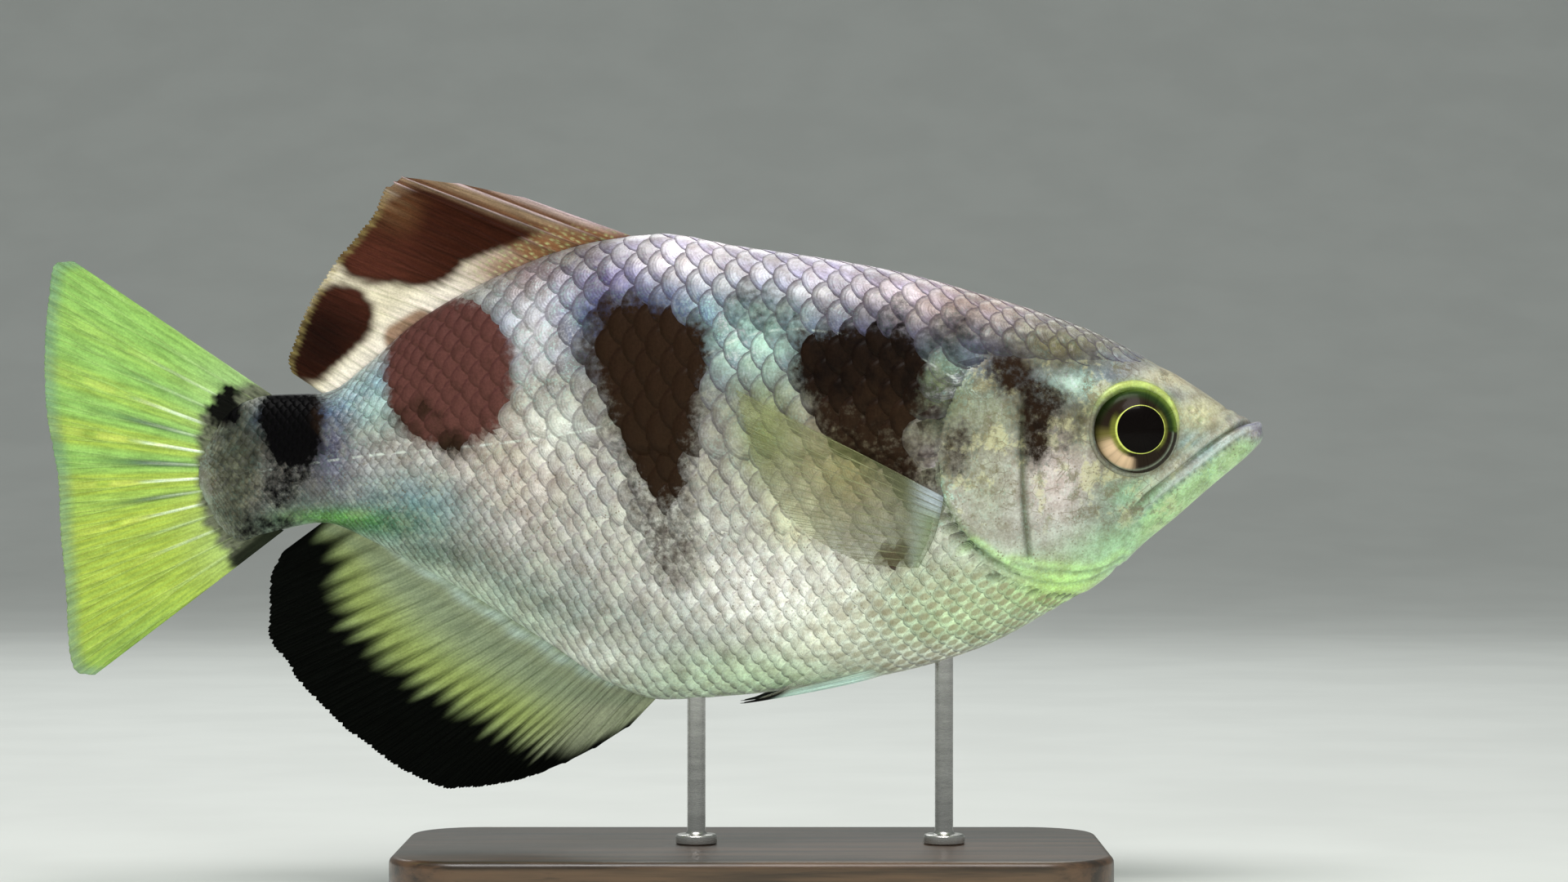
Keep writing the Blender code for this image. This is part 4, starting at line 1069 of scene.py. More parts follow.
def make_hide_colour() -> None:
    """The hide's colour: the tint with mottling, shimmer, fine dots, the lateral line and the dark spots."""
    group = NodeGroup(
        "hide_colour",
        {"Place": "Vector", "Tint": "Color", "Marks": "Vector", "Lustre": "Vector",
         "Mottle": ("Float", 0.25)},
        {"Colour": "Color", "Roughness": "Float", "Metallic": "Float", "Coat": "Float",
         "Grain": "Float", "Bare": "Float"})
    pen, place, mottle = group.pen, group.inputs["Place"], group.inputs["Mottle"]
    depth, russet, line = pen.split(group.inputs["Marks"])
    shine, dots, _ = pen.split(group.inputs["Lustre"])
    cloud = pen.noise(place, 0.42, 3, 0.62)
    grain = pen.noise(place, 2.6, 3, 0.6)
    warmth = pen.mix(pen.step(cloud, 0.34, 0.66), (0.8, 0.75, 0.72), (1.13, 1.14, 1.15))
    colour = pen.tinted(pen.tinted(group.inputs["Tint"], warmth), pen.step(grain, 0.2, 0.8, 0.8, 1.18))
    tan = pen.step(pen.noise(place, 0.21, 4, 0.7), 0.52, 0.62)
    colour = pen.mix(pen.times(tan, mottle, 0.55), colour, (0.5, 0.45, 0.27))
    shade = pen.step(pen.noise(place, 0.31, 6, 0.74), 0.51, 0.62)
    colour = pen.mix(pen.times(shade, mottle, 0.72), colour, (0.155, 0.13, 0.085))
    crack = pen.step(pen.cells(place, 0.46, "DISTANCE_TO_EDGE"), 0.045, 0.005)
    crack = pen.times(crack, pen.step(pen.noise(place, 0.4), 0.46, 0.56), mottle, 0.55)
    colour = pen.mix(crack, colour, (0.13, 0.1, 0.07))
    glint = pen.times(pen.step(pen.noise(place, 1.9, 4, 0.72), 0.46, 0.68), shine)
    hue = pen.mix(pen.step(pen.noise(place, 0.3, 1), 0.42, 0.6), (0.5, 0.84, 0.82), (0.78, 0.74, 0.86))
    colour = pen.mix(pen.times(glint, 0.7), colour, hue)
    fleck = pen.times(pen.step(pen.cells(place, 1.5), 0.3, 0.16), dots)
    fleck = pen.times(fleck, pen.step(pen.noise(place, 0.55), 0.44, 0.62), 0.7)
    colour = pen.mix(fleck, colour, (0.16, 0.12, 0.09))
    beat = pen.plus(pen.times(pen.split(place)[0], 1.75), pen.times(cloud, 9))
    dash = pen.step(pen.math("SINE", beat), -0.7, 0.2)
    close = pen.step(pen.math("ABSOLUTE", line), 0.3, 0.08)
    close = pen.times(close, pen.step(pen.noise(place, 1.4), 0.36, 0.52, 0.45, 1), dash, 0.42)
    colour = pen.mix(close, colour, (0.78, 0.84, 0.84))
    ragged = pen.minus(pen.noise(place, 0.95, 4, 0.68), 0.5)
    inside = pen.plus(depth, pen.times(ragged, pen.plus(3, pen.times(mottle, 0.8))))
    dark = pen.step(inside, -1.5, 1.1)
    warm = pen.times(russet, pen.step(cloud, 0.3, 0.62, 0.6, 1))
    pigment = pen.mix(pen.step(warm, 0, 0.1), (0.0012, 0.001, 0.0014), (0.017, 0.0085, 0.005))
    pigment = pen.mix(pen.step(warm, 0.1, 0.85), pigment, (0.08, 0.03, 0.027))
    colour = pen.mix(dark, colour, pen.tinted(pigment, pen.step(grain, 0.2, 0.8, 0.82, 1.2)))
    bare = pen.minus(1, dark)
    pen.feed(group.exit, {
        "Colour": colour, "Grain": grain, "Bare": bare,
        "Roughness": pen.plus(pen.step(grain, 0.2, 0.8, 0.26, 0.42), pen.times(dark, 0.06)),
        "Coat": pen.minus(0.28, pen.times(dark, 0.27)),
        "Metallic": pen.times(bare, pen.plus(0.1, pen.times(glint, 0.22)))})


def make_fin_rays() -> None:
    """A fin's rays from the place on it: a ray's number, the share from root to margin and millimetres along.

    The distance from the middle of the nearest ray is folded twice, about the places where the ray forks.
    """
    group = NodeGroup(
        "fin_rays",
        {"Place": "Vector", "Tint": "Color", "Ray Colour": "Color", "Ray Share": ("Float", 0.5),
         "Ray Width": ("Float", 0.1), "Fork": ("Float", 0.22)},
        {"Colour": "Color", "Ray": "Float", "Height": "Float"})
    pen, given = group.pen, group.inputs
    ray, share, along = pen.split(given["Place"])
    off = pen.math("ABSOLUTE", pen.minus(ray, pen.math("ROUND", ray)))
    off = pen.math("ABSOLUTE", pen.minus(off, pen.times(given["Fork"], pen.step(share, 0.3, 0.75))))
    off = pen.math("ABSOLUTE", pen.minus(off, pen.times(given["Fork"], 0.5, pen.step(share, 0.62, 1))))
    narrow = pen.times(given["Ray Width"], pen.step(share, 0, 1, 1, 0.42))
    on_ray = pen.step(pen.math("DIVIDE", off, narrow), 1.3, 0.35)
    joint = pen.step(pen.math("SINE", pen.times(along, 9.5)), -0.95, -0.55, 0.55, 1)
    height = pen.times(on_ray, joint)
    spread = pen.add("ShaderNodeCombineXYZ", {0: pen.times(ray, 6), 1: pen.times(along, 0.22)}).outputs[0]
    streak = pen.noise(spread, 0.8, 3, 0.6)
    colour = pen.tinted(given["Tint"], pen.step(streak, 0.25, 0.75, 0.74, 1.22))
    ray_tone = pen.tinted(given["Ray Colour"], pen.step(streak, 0.2, 0.8, 0.75, 1.2))
    light = pen.step(pen.add("ShaderNodeRGBToBW", {0: given["Tint"]}).outputs[0], 0.04, 0.16)
    shown = pen.times(height, given["Ray Share"], light)
    pen.feed(group.exit, {"Colour": pen.mix(shown, colour, ray_tone), "Ray": on_ray, "Height": height})


def make_wear() -> None:
    """Fine scratches and smudges for made things: long noise in one direction, and clouds."""
    group = NodeGroup("wear", {"Place": "Vector", "Fineness": ("Float", 1)},
                      {"Scratch": "Float", "Smudge": "Float"})
    pen = group.pen
    fed = {0: group.inputs["Place"], 3: group.inputs["Fineness"]}
    vector = pen.add("ShaderNodeVectorMath", fed, operation="SCALE").outputs[0]
    pen.feed(group.exit, {"Scratch": pen.noise(vector, 1, 5, 0.7), "Smudge": pen.noise(vector, 0.06)})


GROUP_MAKERS: dict[str, Callable[[], None]] = {
    "hide_colour": make_hide_colour, "fin_rays": make_fin_rays, "wear": make_wear,
}


# Finishes

@dataclass(frozen=True)
class Finish:
    """What all finishes share: a name, and a material whose shader gets the finish's own feeds."""

    name: str

    def material(self) -> bpy.types.Material:
        """Makes the finish's material.

        Returns:
            The new material.
        """
        material = bpy.data.materials.new(self.name)
        material.use_nodes = True
        pen = NodePen(material.node_tree)
        shader = pen.add("ShaderNodeBsdfPrincipled")
        pen.add("ShaderNodeOutputMaterial", {"Surface": shader.outputs[0]})
        pen.feed(shader, self.feeds(pen))
        return material

    def feeds(self, pen: NodePen) -> dict[str, Feed]:
        """What feeds the shader's sockets, by name; each finish places its own nodes for it with the pen."""
        raise NotImplementedError


@dataclass(frozen=True)
class HideFinish(Finish):
    """Bare skin: moist and silvery, with pores and fine creases."""

    name: str = "hide"
    pore_depth: float = 0.05

    def feeds(self, pen: NodePen) -> dict[str, Feed]:
        """The hide's colours with the head's mottling, and pores of two sizes.

        Args:
            pen: A pen on the material's tree.

        Returns:
            What feeds the shader's sockets.
        """
        place, lustre = pen.place(), pen.read("lustre")
        hide = NodeGroup.use(pen, "hide_colour", {
            "Place": place, "Tint": pen.read("tint", "Color"), "Marks": pen.read("marks"), "Lustre": lustre,
            "Mottle": pen.split(lustre)[2]})
        pores = pen.plus(pen.noise(place, 4.2, 3, 0.6), pen.noise(place, 0.9, 3, 0.6))
        return {"Base Color": hide["Colour"], "Roughness": hide["Roughness"], "Metallic": hide["Metallic"],
                "Coat Weight": hide["Coat"], "Normal": pen.bump(pores, self.pore_depth),
                "Specular IOR Level": 0.05, "Coat Roughness": 0.2}


@dataclass(frozen=True)
class ScaleFinish(Finish):
    """A scale: the hide's colours with a dark rim, growth rings, and on the breast a brown spot."""

    name: str = "scales"
    rim_colour: Colour = (0.07, 0.048, 0.075)
    core_colour: Colour = (0.235, 0.175, 0.105)
    shade: Colour = (0.56, 0.53, 0.78)
    ring_depth: float = 0.014

    def feeds(self, pen: NodePen) -> dict[str, Feed]:
        """The hide's colours, with the marks that go by the place on the scale: towards the tail, and down.

        Args:
            pen: A pen on the material's tree.

        Returns:
            What feeds the shader's sockets.
        """
        lustre = pen.read("lustre")
        rim_share = pen.split(lustre)[2]
        back, down, chance = pen.split(pen.read("place"))
        down_twice = pen.times(down, down)
        radius = pen.math("SQRT", pen.plus(pen.times(back, back), down_twice))
        shadow = pen.times(pen.step(down, -0.4, 0.8), rim_share, 0.8)
        colour = pen.mix(shadow, pen.read("tint", "Color"), self.shade, "MULTIPLY")
        colour = pen.tinted(colour, pen.step(chance, 0, 1, 0.86, 1.12))
        colour = pen.tinted(colour, pen.step(radius, 0, 1, 1.1, 0.9))
        hide = NodeGroup.use(pen, "hide_colour", {
            "Place": pen.place(), "Tint": colour, "Marks": pen.read("marks"), "Lustre": lustre})
        ahead = pen.times(pen.minus(back, 0.45), 1.5)
        away = pen.plus(pen.times(ahead, ahead), pen.times(down_twice, 3.2))
        core = pen.times(pen.step(away, 0.55, 0.12), pen.read("tint", "Alpha"), 0.6)
        colour = pen.mix(core, hide["Colour"], self.core_colour)
        rim = pen.times(pen.step(radius, 0.89, 0.99), rim_share, hide["Bare"], 0.72)
        height = pen.plus(pen.math("SINE", pen.times(radius, 52)), pen.times(hide["Grain"], 2.2))
        height = pen.times(height, pen.step(hide["Bare"], 0, 1, 0.35, 1))
        return {"Base Color": pen.mix(rim, colour, self.rim_colour), "Roughness": hide["Roughness"],
                "Metallic": hide["Metallic"], "Coat Weight": hide["Coat"],
                "Normal": pen.bump(height, self.ring_depth),
                "Specular IOR Level": 0.04, "Coat Roughness": 0.22}


@dataclass(frozen=True)
class FinFinish(Finish):
    """A fin: a thin skin between rays, which may let some light and sight through."""

    name: str = "fin"
    ray_colour: Colour = (0.16, 0.09, 0.05)
    ray_share: float = 0.5
    ray_width: float = 0.12
    seen_ray: Optional[float] = None
    coat: float = 0.03
    specular: float = 0.03
    fork: float = 0.22
    roughness: float = 0.46

    def feeds(self, pen: NodePen) -> dict[str, Feed]:
        """The fin's own colours with its rays over them; a clear fin's paint and rays say how far it is seen.

        Args:
            pen: A pen on the material's tree.

        Returns:
            What feeds the shader's sockets.
        """
        rays = NodeGroup.use(pen, "fin_rays", {
            "Place": pen.read("weave"), "Tint": pen.read("tint", "Color"), "Ray Colour": self.ray_colour,
            "Ray Share": self.ray_share, "Ray Width": self.ray_width, "Fork": self.fork})
        fine = pen.noise(pen.place(), 3, 3, 0.6)
        height = pen.plus(rays["Height"], pen.times(fine, 0.35))
        fed = {"Base Color": pen.tinted(rays["Colour"], pen.step(fine, 0.2, 0.8, 0.84, 1.14)),
               "Roughness": pen.step(fine, 0.2, 0.8, self.roughness - 0.08, self.roughness + 0.1),
               "Normal": pen.bump(height, 0.07), "Specular IOR Level": self.specular,
               "Coat Weight": self.coat, "Coat Roughness": 0.25}
        if self.seen_ray is not None:
            seen = pen.times(rays["Ray"], self.seen_ray)
            fed["Alpha"] = pen.math("MAXIMUM", pen.read("tint", "Alpha"), seen)
        return fed


@dataclass(frozen=True)
class EyeFinish(Finish):
    """A wet eye: a painted iris, a thin bright ring round the pupil, and a clear glossy layer."""

    name: str = "eye"
    ring_colour: Colour = (0.62, 0.66, 0.16)
    pupil_colour: Colour = (0.003, 0.002, 0.002)

    def feeds(self, pen: NodePen) -> dict[str, Feed]:
        """The iris's own colours, then the ring and the pupil by the distance from the pupil's middle.

        Args:
            pen: A pen on the material's tree.

        Returns:
            What feeds the shader's sockets.
        """
        side, near, _ = pen.split(pen.read("iris"))
        fibre = pen.noise(pen.read("fan"), 1.6, 4, 0.65)
        colour = pen.tinted(pen.read("tint", "Color"), pen.step(fibre, 0.3, 0.7, 0.86, 1.14))
        from_edge = pen.math("DIVIDE", pen.minus(near, PUPIL_RADIUS), pen.step(side, 0, 1, 0.16, 0.42))
        ring = pen.times(pen.step(from_edge, 1, 0.35), pen.step(fibre, 0.3, 0.7, 0.75, 1))
        pupil = pen.step(near, PUPIL_RADIUS + 0.03, PUPIL_RADIUS - 0.03)
        return {"Base Color": pen.mix(pupil, pen.mix(ring, colour, self.ring_colour), self.pupil_colour),
                "Roughness": pen.step(fibre, 0.3, 0.7, 0.26, 0.32), "Normal": pen.bump(fibre, 0.012),
                "Metallic": 0.1, "Specular IOR Level": 0.03, "Coat Weight": 0.1, "Coat Roughness": 0.1,
                "Coat IOR": 1.38}


@dataclass(frozen=True)
class WoodFinish(Finish):
    """Dark stained wood under a satin varnish, with its grain along x."""

    name: str = "base_wood"
    dark: Colour = (0.02, 0.012, 0.008)
    light: Colour = (0.085, 0.045, 0.026)

    def feeds(self, pen: NodePen) -> dict[str, Feed]:
        """Bands of two browns, open pores, and a smudged varnish.

        Args:
            pen: A pen on the material's tree.

        Returns:
            What feeds the shader's sockets.
        """
        bands = pen.noise(pen.place((0.05, 1, 1)), 0.34, 4, 0.62)
        pores = pen.noise(pen.place((0.12, 2.2, 2.2)), 1.4, 3, 0.6)
        colour = pen.mix(pen.step(bands, 0.36, 0.64), self.dark, self.light)
        wear = NodeGroup.use(pen, "wear", {"Place": pen.place(), "Fineness": 0.6})
        return {"Base Color": pen.mix(pen.step(pores, 0.58, 0.74, 0, 0.6), colour, self.dark),
                "Roughness": pen.step(wear["Smudge"], 0.3, 0.7, 0.3, 0.46),
                "Normal": pen.bump(pores, 0.05, 0.6), "Coat Weight": 0.3, "Coat Roughness": 0.22}


@dataclass(frozen=True)
class SteelFinish(Finish):
    """Satin steel, turned, with fine scratches around its axis."""

    name: str = "rod_steel"
    colour: Colour = (0.6, 0.59, 0.57)

    def feeds(self, pen: NodePen) -> dict[str, Feed]:
        """Bare metal whose tone goes by the smudges, and its roughness by the scratches.

        Args:
            pen: A pen on the material's tree.

        Returns:
            What feeds the shader's sockets.
        """
        wear = NodeGroup.use(pen, "wear", {"Place": pen.place((0.3, 0.3, 7)), "Fineness": 1.5})
        return {"Base Color": pen.tinted(self.colour, pen.step(wear["Smudge"], 0.3, 0.7, 0.86, 1.06)),
                "Roughness": pen.step(wear["Scratch"], 0.3, 0.7, 0.2, 0.38), "Metallic": 1,
                "Normal": pen.bump(wear["Scratch"], 0.01, 0.5)}


@dataclass(frozen=True)
class FloorFinish(Finish):
    """Pale, matt paper with faint clouds."""

    name: str = "studio_floor"
    colour: Colour = (0.7, 0.72, 0.7)

    def feeds(self, pen: NodePen) -> dict[str, Feed]:
        """One colour, a little lighter and darker in clouds."""
        cloud = pen.step(pen.noise(pen.place((0.01, 0.01, 0.01)), 2, 3), 0.3, 0.7, 0.97, 1.02)
        return {"Base Color": pen.tinted(self.colour, cloud), "Roughness": 0.85}


# The hide

@dataclass
class Skin:
    """One skin over the whole body, from the tail's root to the chin."""

    surface: BodySurface
    markings: Markings
    nodes: tuple[str, ...] = ("head", "lower_jaw", "gill_cover_r", "gill_cover_l", "torso", "tail_stalk")

    def build(self, finish: HideFinish) -> bpy.types.Object:
        """Makes the skin and dresses it.

        Args:
            finish: The hide's finish.

        Returns:
            The skin's object.
        """
        surface = self.surface
        rings, around = len(surface.rings), surface.around
        tips = np.array([(surface.rings[0] - 0.2, float(surface.form.bend(surface.rings[0])), -5.4),
                         (surface.rings[-1] + 0.04, 0, 1.28)])
        points = np.vstack([surface.points.reshape(-1, 3), tips])
        where = np.vstack([surface.plain.reshape(-1, 3), tips])
        x, z = side_view(where, surface.form)
        faces = ring_faces(rings, around)
        lustre = self.markings.lustre(x, z)
        lustre[:, 2] = self.markings.mottle(x, z)
        piece = Piece("skin", points, faces, colours={"tint": self.markings.tint(x, z)},
                      vectors={"marks": self.markings.marks(x, z), "lustre": lustre},
                      bake_places=self._bake_places(faces))
        return piece.make(finish.material(), "skin", self.nodes)

    def _bake_places(self, faces: list[Array]) -> Array:
        """The unwrap's place for each corner, with the last column's faces closing at the far edge.

        Args:
            faces: The skin's faces: four-sided ones, then the triangles at its ends.

        Returns:
            The places, one row for each corner.
        """
        around = self.surface.around
        step = 1 / self.surface.side_steps
        quads, ends = faces
        ring = self.surface.rings[quads // around]
        column = quads % around
        wraps = (column == 0) & (quads[:, :1] % around == around - 1)
        quad_places = self.surface.bake_place(ring, np.where(wraps, around, column) * step)
        end_ring = np.minimum(ends // around, len(self.surface.rings) - 1)
        end_places = self.surface.bake_place(self.surface.rings[end_ring], (ends % around) * step)
        return np.vstack([quad_places.reshape(-1, 2), end_places.reshape(-1, 2)])


@dataclass(frozen=True)
class ScaleBand:
    """A band of scales: its rows' places round the body, the spacing along them, and its pieces' sides."""

    name: str
    rows: tuple[float, float, int]
    spacing: float
    lift: float
    sides: tuple[Optional[Side], ...]


@dataclass
class ScaleCoat:
    """Overlapping scales in offset rows, each a thin closed plate that rises a little towards the tail.

    A plate is a square grid pressed into a disc: a is u times the root of 1 less half v squared, and b the
    same the other way. a runs towards the tail and b down the flank.
    """

    surface: BodySurface
    markings: Markings
    bands: tuple[ScaleBand, ...] = (
        ScaleBand("scales_back", (-0.44, 0.44, 23), 3.9, 0.052, (None,)),
        ScaleBand("scales_flank", (0.472, 0.596, 5), 3.1, 0.023, (Side.RIGHT, Side.LEFT)),
        ScaleBand("scales_belly", (0.62, 1, 18), 2.3, 0.02, (Side.RIGHT, Side.LEFT)),
    )
    full_girth: float = 72
    height_share: float = 1.18
    flat_rear: tuple[float, float, float] = (-28, -4, 0.24)
    sunk: float = 0.3
    crown: float = 0.22
    thickness: float = 0.022
    cells: int = 4
    seed: int = 7
    rear_end: float = -71
    front_end: float = 92

    def build(self, finish: ScaleFinish) -> list[bpy.types.Object]:
        """Makes every band's pieces and dresses them.

        Args:
            finish: The scales' finish.

        Returns:
            The new objects.
        """
        material = finish.material()
        draw = np.random.default_rng(self.seed)
        made = []
        for band in self.bands:
            for side in band.sides:
                name = band.name if side is None else f"{band.name}_{side.end}"
                made.append(self._piece(name, band, side, draw).make(material, "skin"))
        return made

    def _seats(self, band: ScaleBand, side: Optional[Side], draw: np.random.Generator) -> Array:
        """Where a band's scales sit: x, q, size and a chance number, one row each.

        Along x the rows have equal steps of the integral of one over spacing and size, and every second row
        is shifted by half a step.

        Args:
            band: The band.
            side: The side of the fish, or none where the band spans both.
            draw: The source of chance numbers.

        Returns:
            The seats.
        """
        first, last, count = band.rows
        rows = np.linspace(first, last, count)
        along = np.linspace(self.rear_end, self.front_end, 1600)
        size = np.clip(self.surface.girth_at(along) / self.full_girth, 0.3, 1.06)
        run = np.concatenate([[0], np.cumsum(np.diff(along) / (band.spacing * size[1:]))])
        number, row = np.meshgrid(np.arange(int(run[-1])), np.arange(count), indexing="ij")
        spots = number + 0.5 * (row % 2) + draw.uniform(-0.06, 0.06, row.shape)
        x = np.interp(spots.ravel(), run, along)
        q = rows[row.ravel()] + draw.uniform(-0.05, 0.05, x.shape) * (rows[1] - rows[0])
        if side is Side.LEFT:
            q = 2 - q
        size = np.interp(x, along, size) * draw.uniform(0.97, 1.03, x.shape)
        seats = np.stack([x, q, size, draw.uniform(0, 1, x.shape)], axis=1)
        return seats[self._wanted(seats, band, side)]

    def _wanted(self, seats: Array, band: ScaleBand, side: Optional[Side]) -> Array:
        """Which seats keep their scale: those on scaled skin, clear of the eyes and of the fins' roots.

        Args:
            seats: The seats.
            band: Their band.
            side: Their side of the fish.

        Returns:
            True for each seat that keeps its scale.
        """
        x, q, size = seats[:, 0], seats[:, 1], seats[:, 2]
        points, _ = self.surface.at(x, q)
        seen_x, seen_z = side_view(points, self.surface.form)
        clear = self.surface.relief.scale_side(seen_x, seen_z) < -0.25 * band.spacing * size
        eye = np.hypot(seen_x - EYE_X, seen_z - EYE_Z) > 9.6 + band.spacing * size
        middle = np.abs(points[:, 1] - self.surface.form.bend(x)) < 0.7
        finned = middle & (x < 1.5)
        keel_twice = (side is Side.LEFT) & (np.abs(q - 1) < 0.004)
        return clear & eye & ~finned & ~keel_twice

    def _disc(self) -> tuple[Array, Array, Array, list[Array]]:
        """A plate's grid, with its edge repeated below it.

        Returns:
            Each point's a, its b and whether it is on the dropped edge, and the plate's faces.
        """
        count = self.cells + 1
        u, v = (grid.ravel() for grid in np.meshgrid(*[np.linspace(-1, 1, count)] * 2, indexing="ij"))
        a, b = u * np.sqrt(1 - v * v / 2), v * np.sqrt(1 - u * u / 2)
        top, rim = grid_faces(count, count)
        low = len(a) + np.arange(len(rim))
        wall = np.stack([rim, low, np.roll(low, -1), np.roll(rim, -1)], axis=1)
        dropped = np.repeat([0, 1], [len(a), len(rim)])
        return np.append(a, a[rim]), np.append(b, b[rim]), dropped, [top, wall, low[None, ::-1]]

    def _piece(self, name: str, band: ScaleBand, side: Optional[Side], draw: np.random.Generator) -> Piece:
        """One piece of many scales.

        Each point lies on the skin at the scale's own place plus its a and b, and is raised along the normal
        by the lift at a, plus a crown that is highest in the middle of b.

        Args:
            name: The piece's name.
            band: The band.
            side: The side of the fish, or none where the band spans both.
            draw: The source of chance numbers.

        Returns:
            The piece.
        """
        seats = self._seats(band, side, draw)
        a, b, dropped, disc = self._disc()
        down = 1 if side is not Side.LEFT else -1
        row_step = (band.rows[1] - band.rows[0]) / (band.rows[2] - 1)
        turn = draw.uniform(-0.05, 0.05, (len(seats), 1))
        x0, q0, size, chance = (seats[:, c:c + 1] for c in range(4))
        length = band.spacing * size
        girth = self.surface.girth_at(x0)
        height = row_step * self.height_share * girth
        back = length * a - turn * height * b
        below = height * b + turn * length * a
        x = x0 - back
        q = q0 + below / girth
        rise = (a + 1) / 2
        first, last, least = self.flat_rear
        lift = band.lift * (least + (1 - least) * ease(first, last, x0))
        up = lift * (rise * (1 + self.crown * (1 - b * b)) - self.sunk) - dropped * self.thickness
        up = up * length
        points, normals = self.surface.at(x, q)
        points = points + normals * up[..., None]
        count, width = x.shape
        starts = (np.arange(count) * width)[:, None, None]
        faces = [(group[None] + starts).reshape(-1, group.shape[1]) for group in disc]
        centre, _ = self.surface.at((x0 - 0.4 * length)[:, 0], q0[:, 0])
        plain_x, plain_z = (part.ravel() for part in side_view(points, self.surface.form))
        own_x, own_z = (np.repeat(part, width) for part in side_view(centre, self.surface.form))
        plain = self.markings.marks(plain_x, plain_z)
        marks = 0.5 * plain + 0.5 * self.markings.marks(own_x, own_z)
        marks[:, 2] = plain[:, 2]
        sign = down if side is not None else np.where(np.mod(q0, 2) > 1, -1, 1)
        place = np.stack([np.broadcast_to(part, x.shape) for part in (a, b * sign, chance)], axis=-1)
        patch = self.surface.bake_place(np.repeat(x0[:, 0], width), np.repeat(np.mod(q0[:, 0], 2), width))
        patch = np.clip(patch + 0.0015 * np.stack([np.tile(-a, count), np.tile(b, count)], axis=1), 0, 1)
        corners = np.concatenate([group.ravel() for group in faces])
        return Piece(name, points.reshape(-1, 3), faces,
                     colours={"tint": self.markings.tint(plain_x, plain_z)},
                     vectors={"marks": marks, "lustre": self.markings.lustre(own_x, own_z),
                              "place": place.reshape(-1, 3)},
                     bake_places=patch[corners])


# Eyes

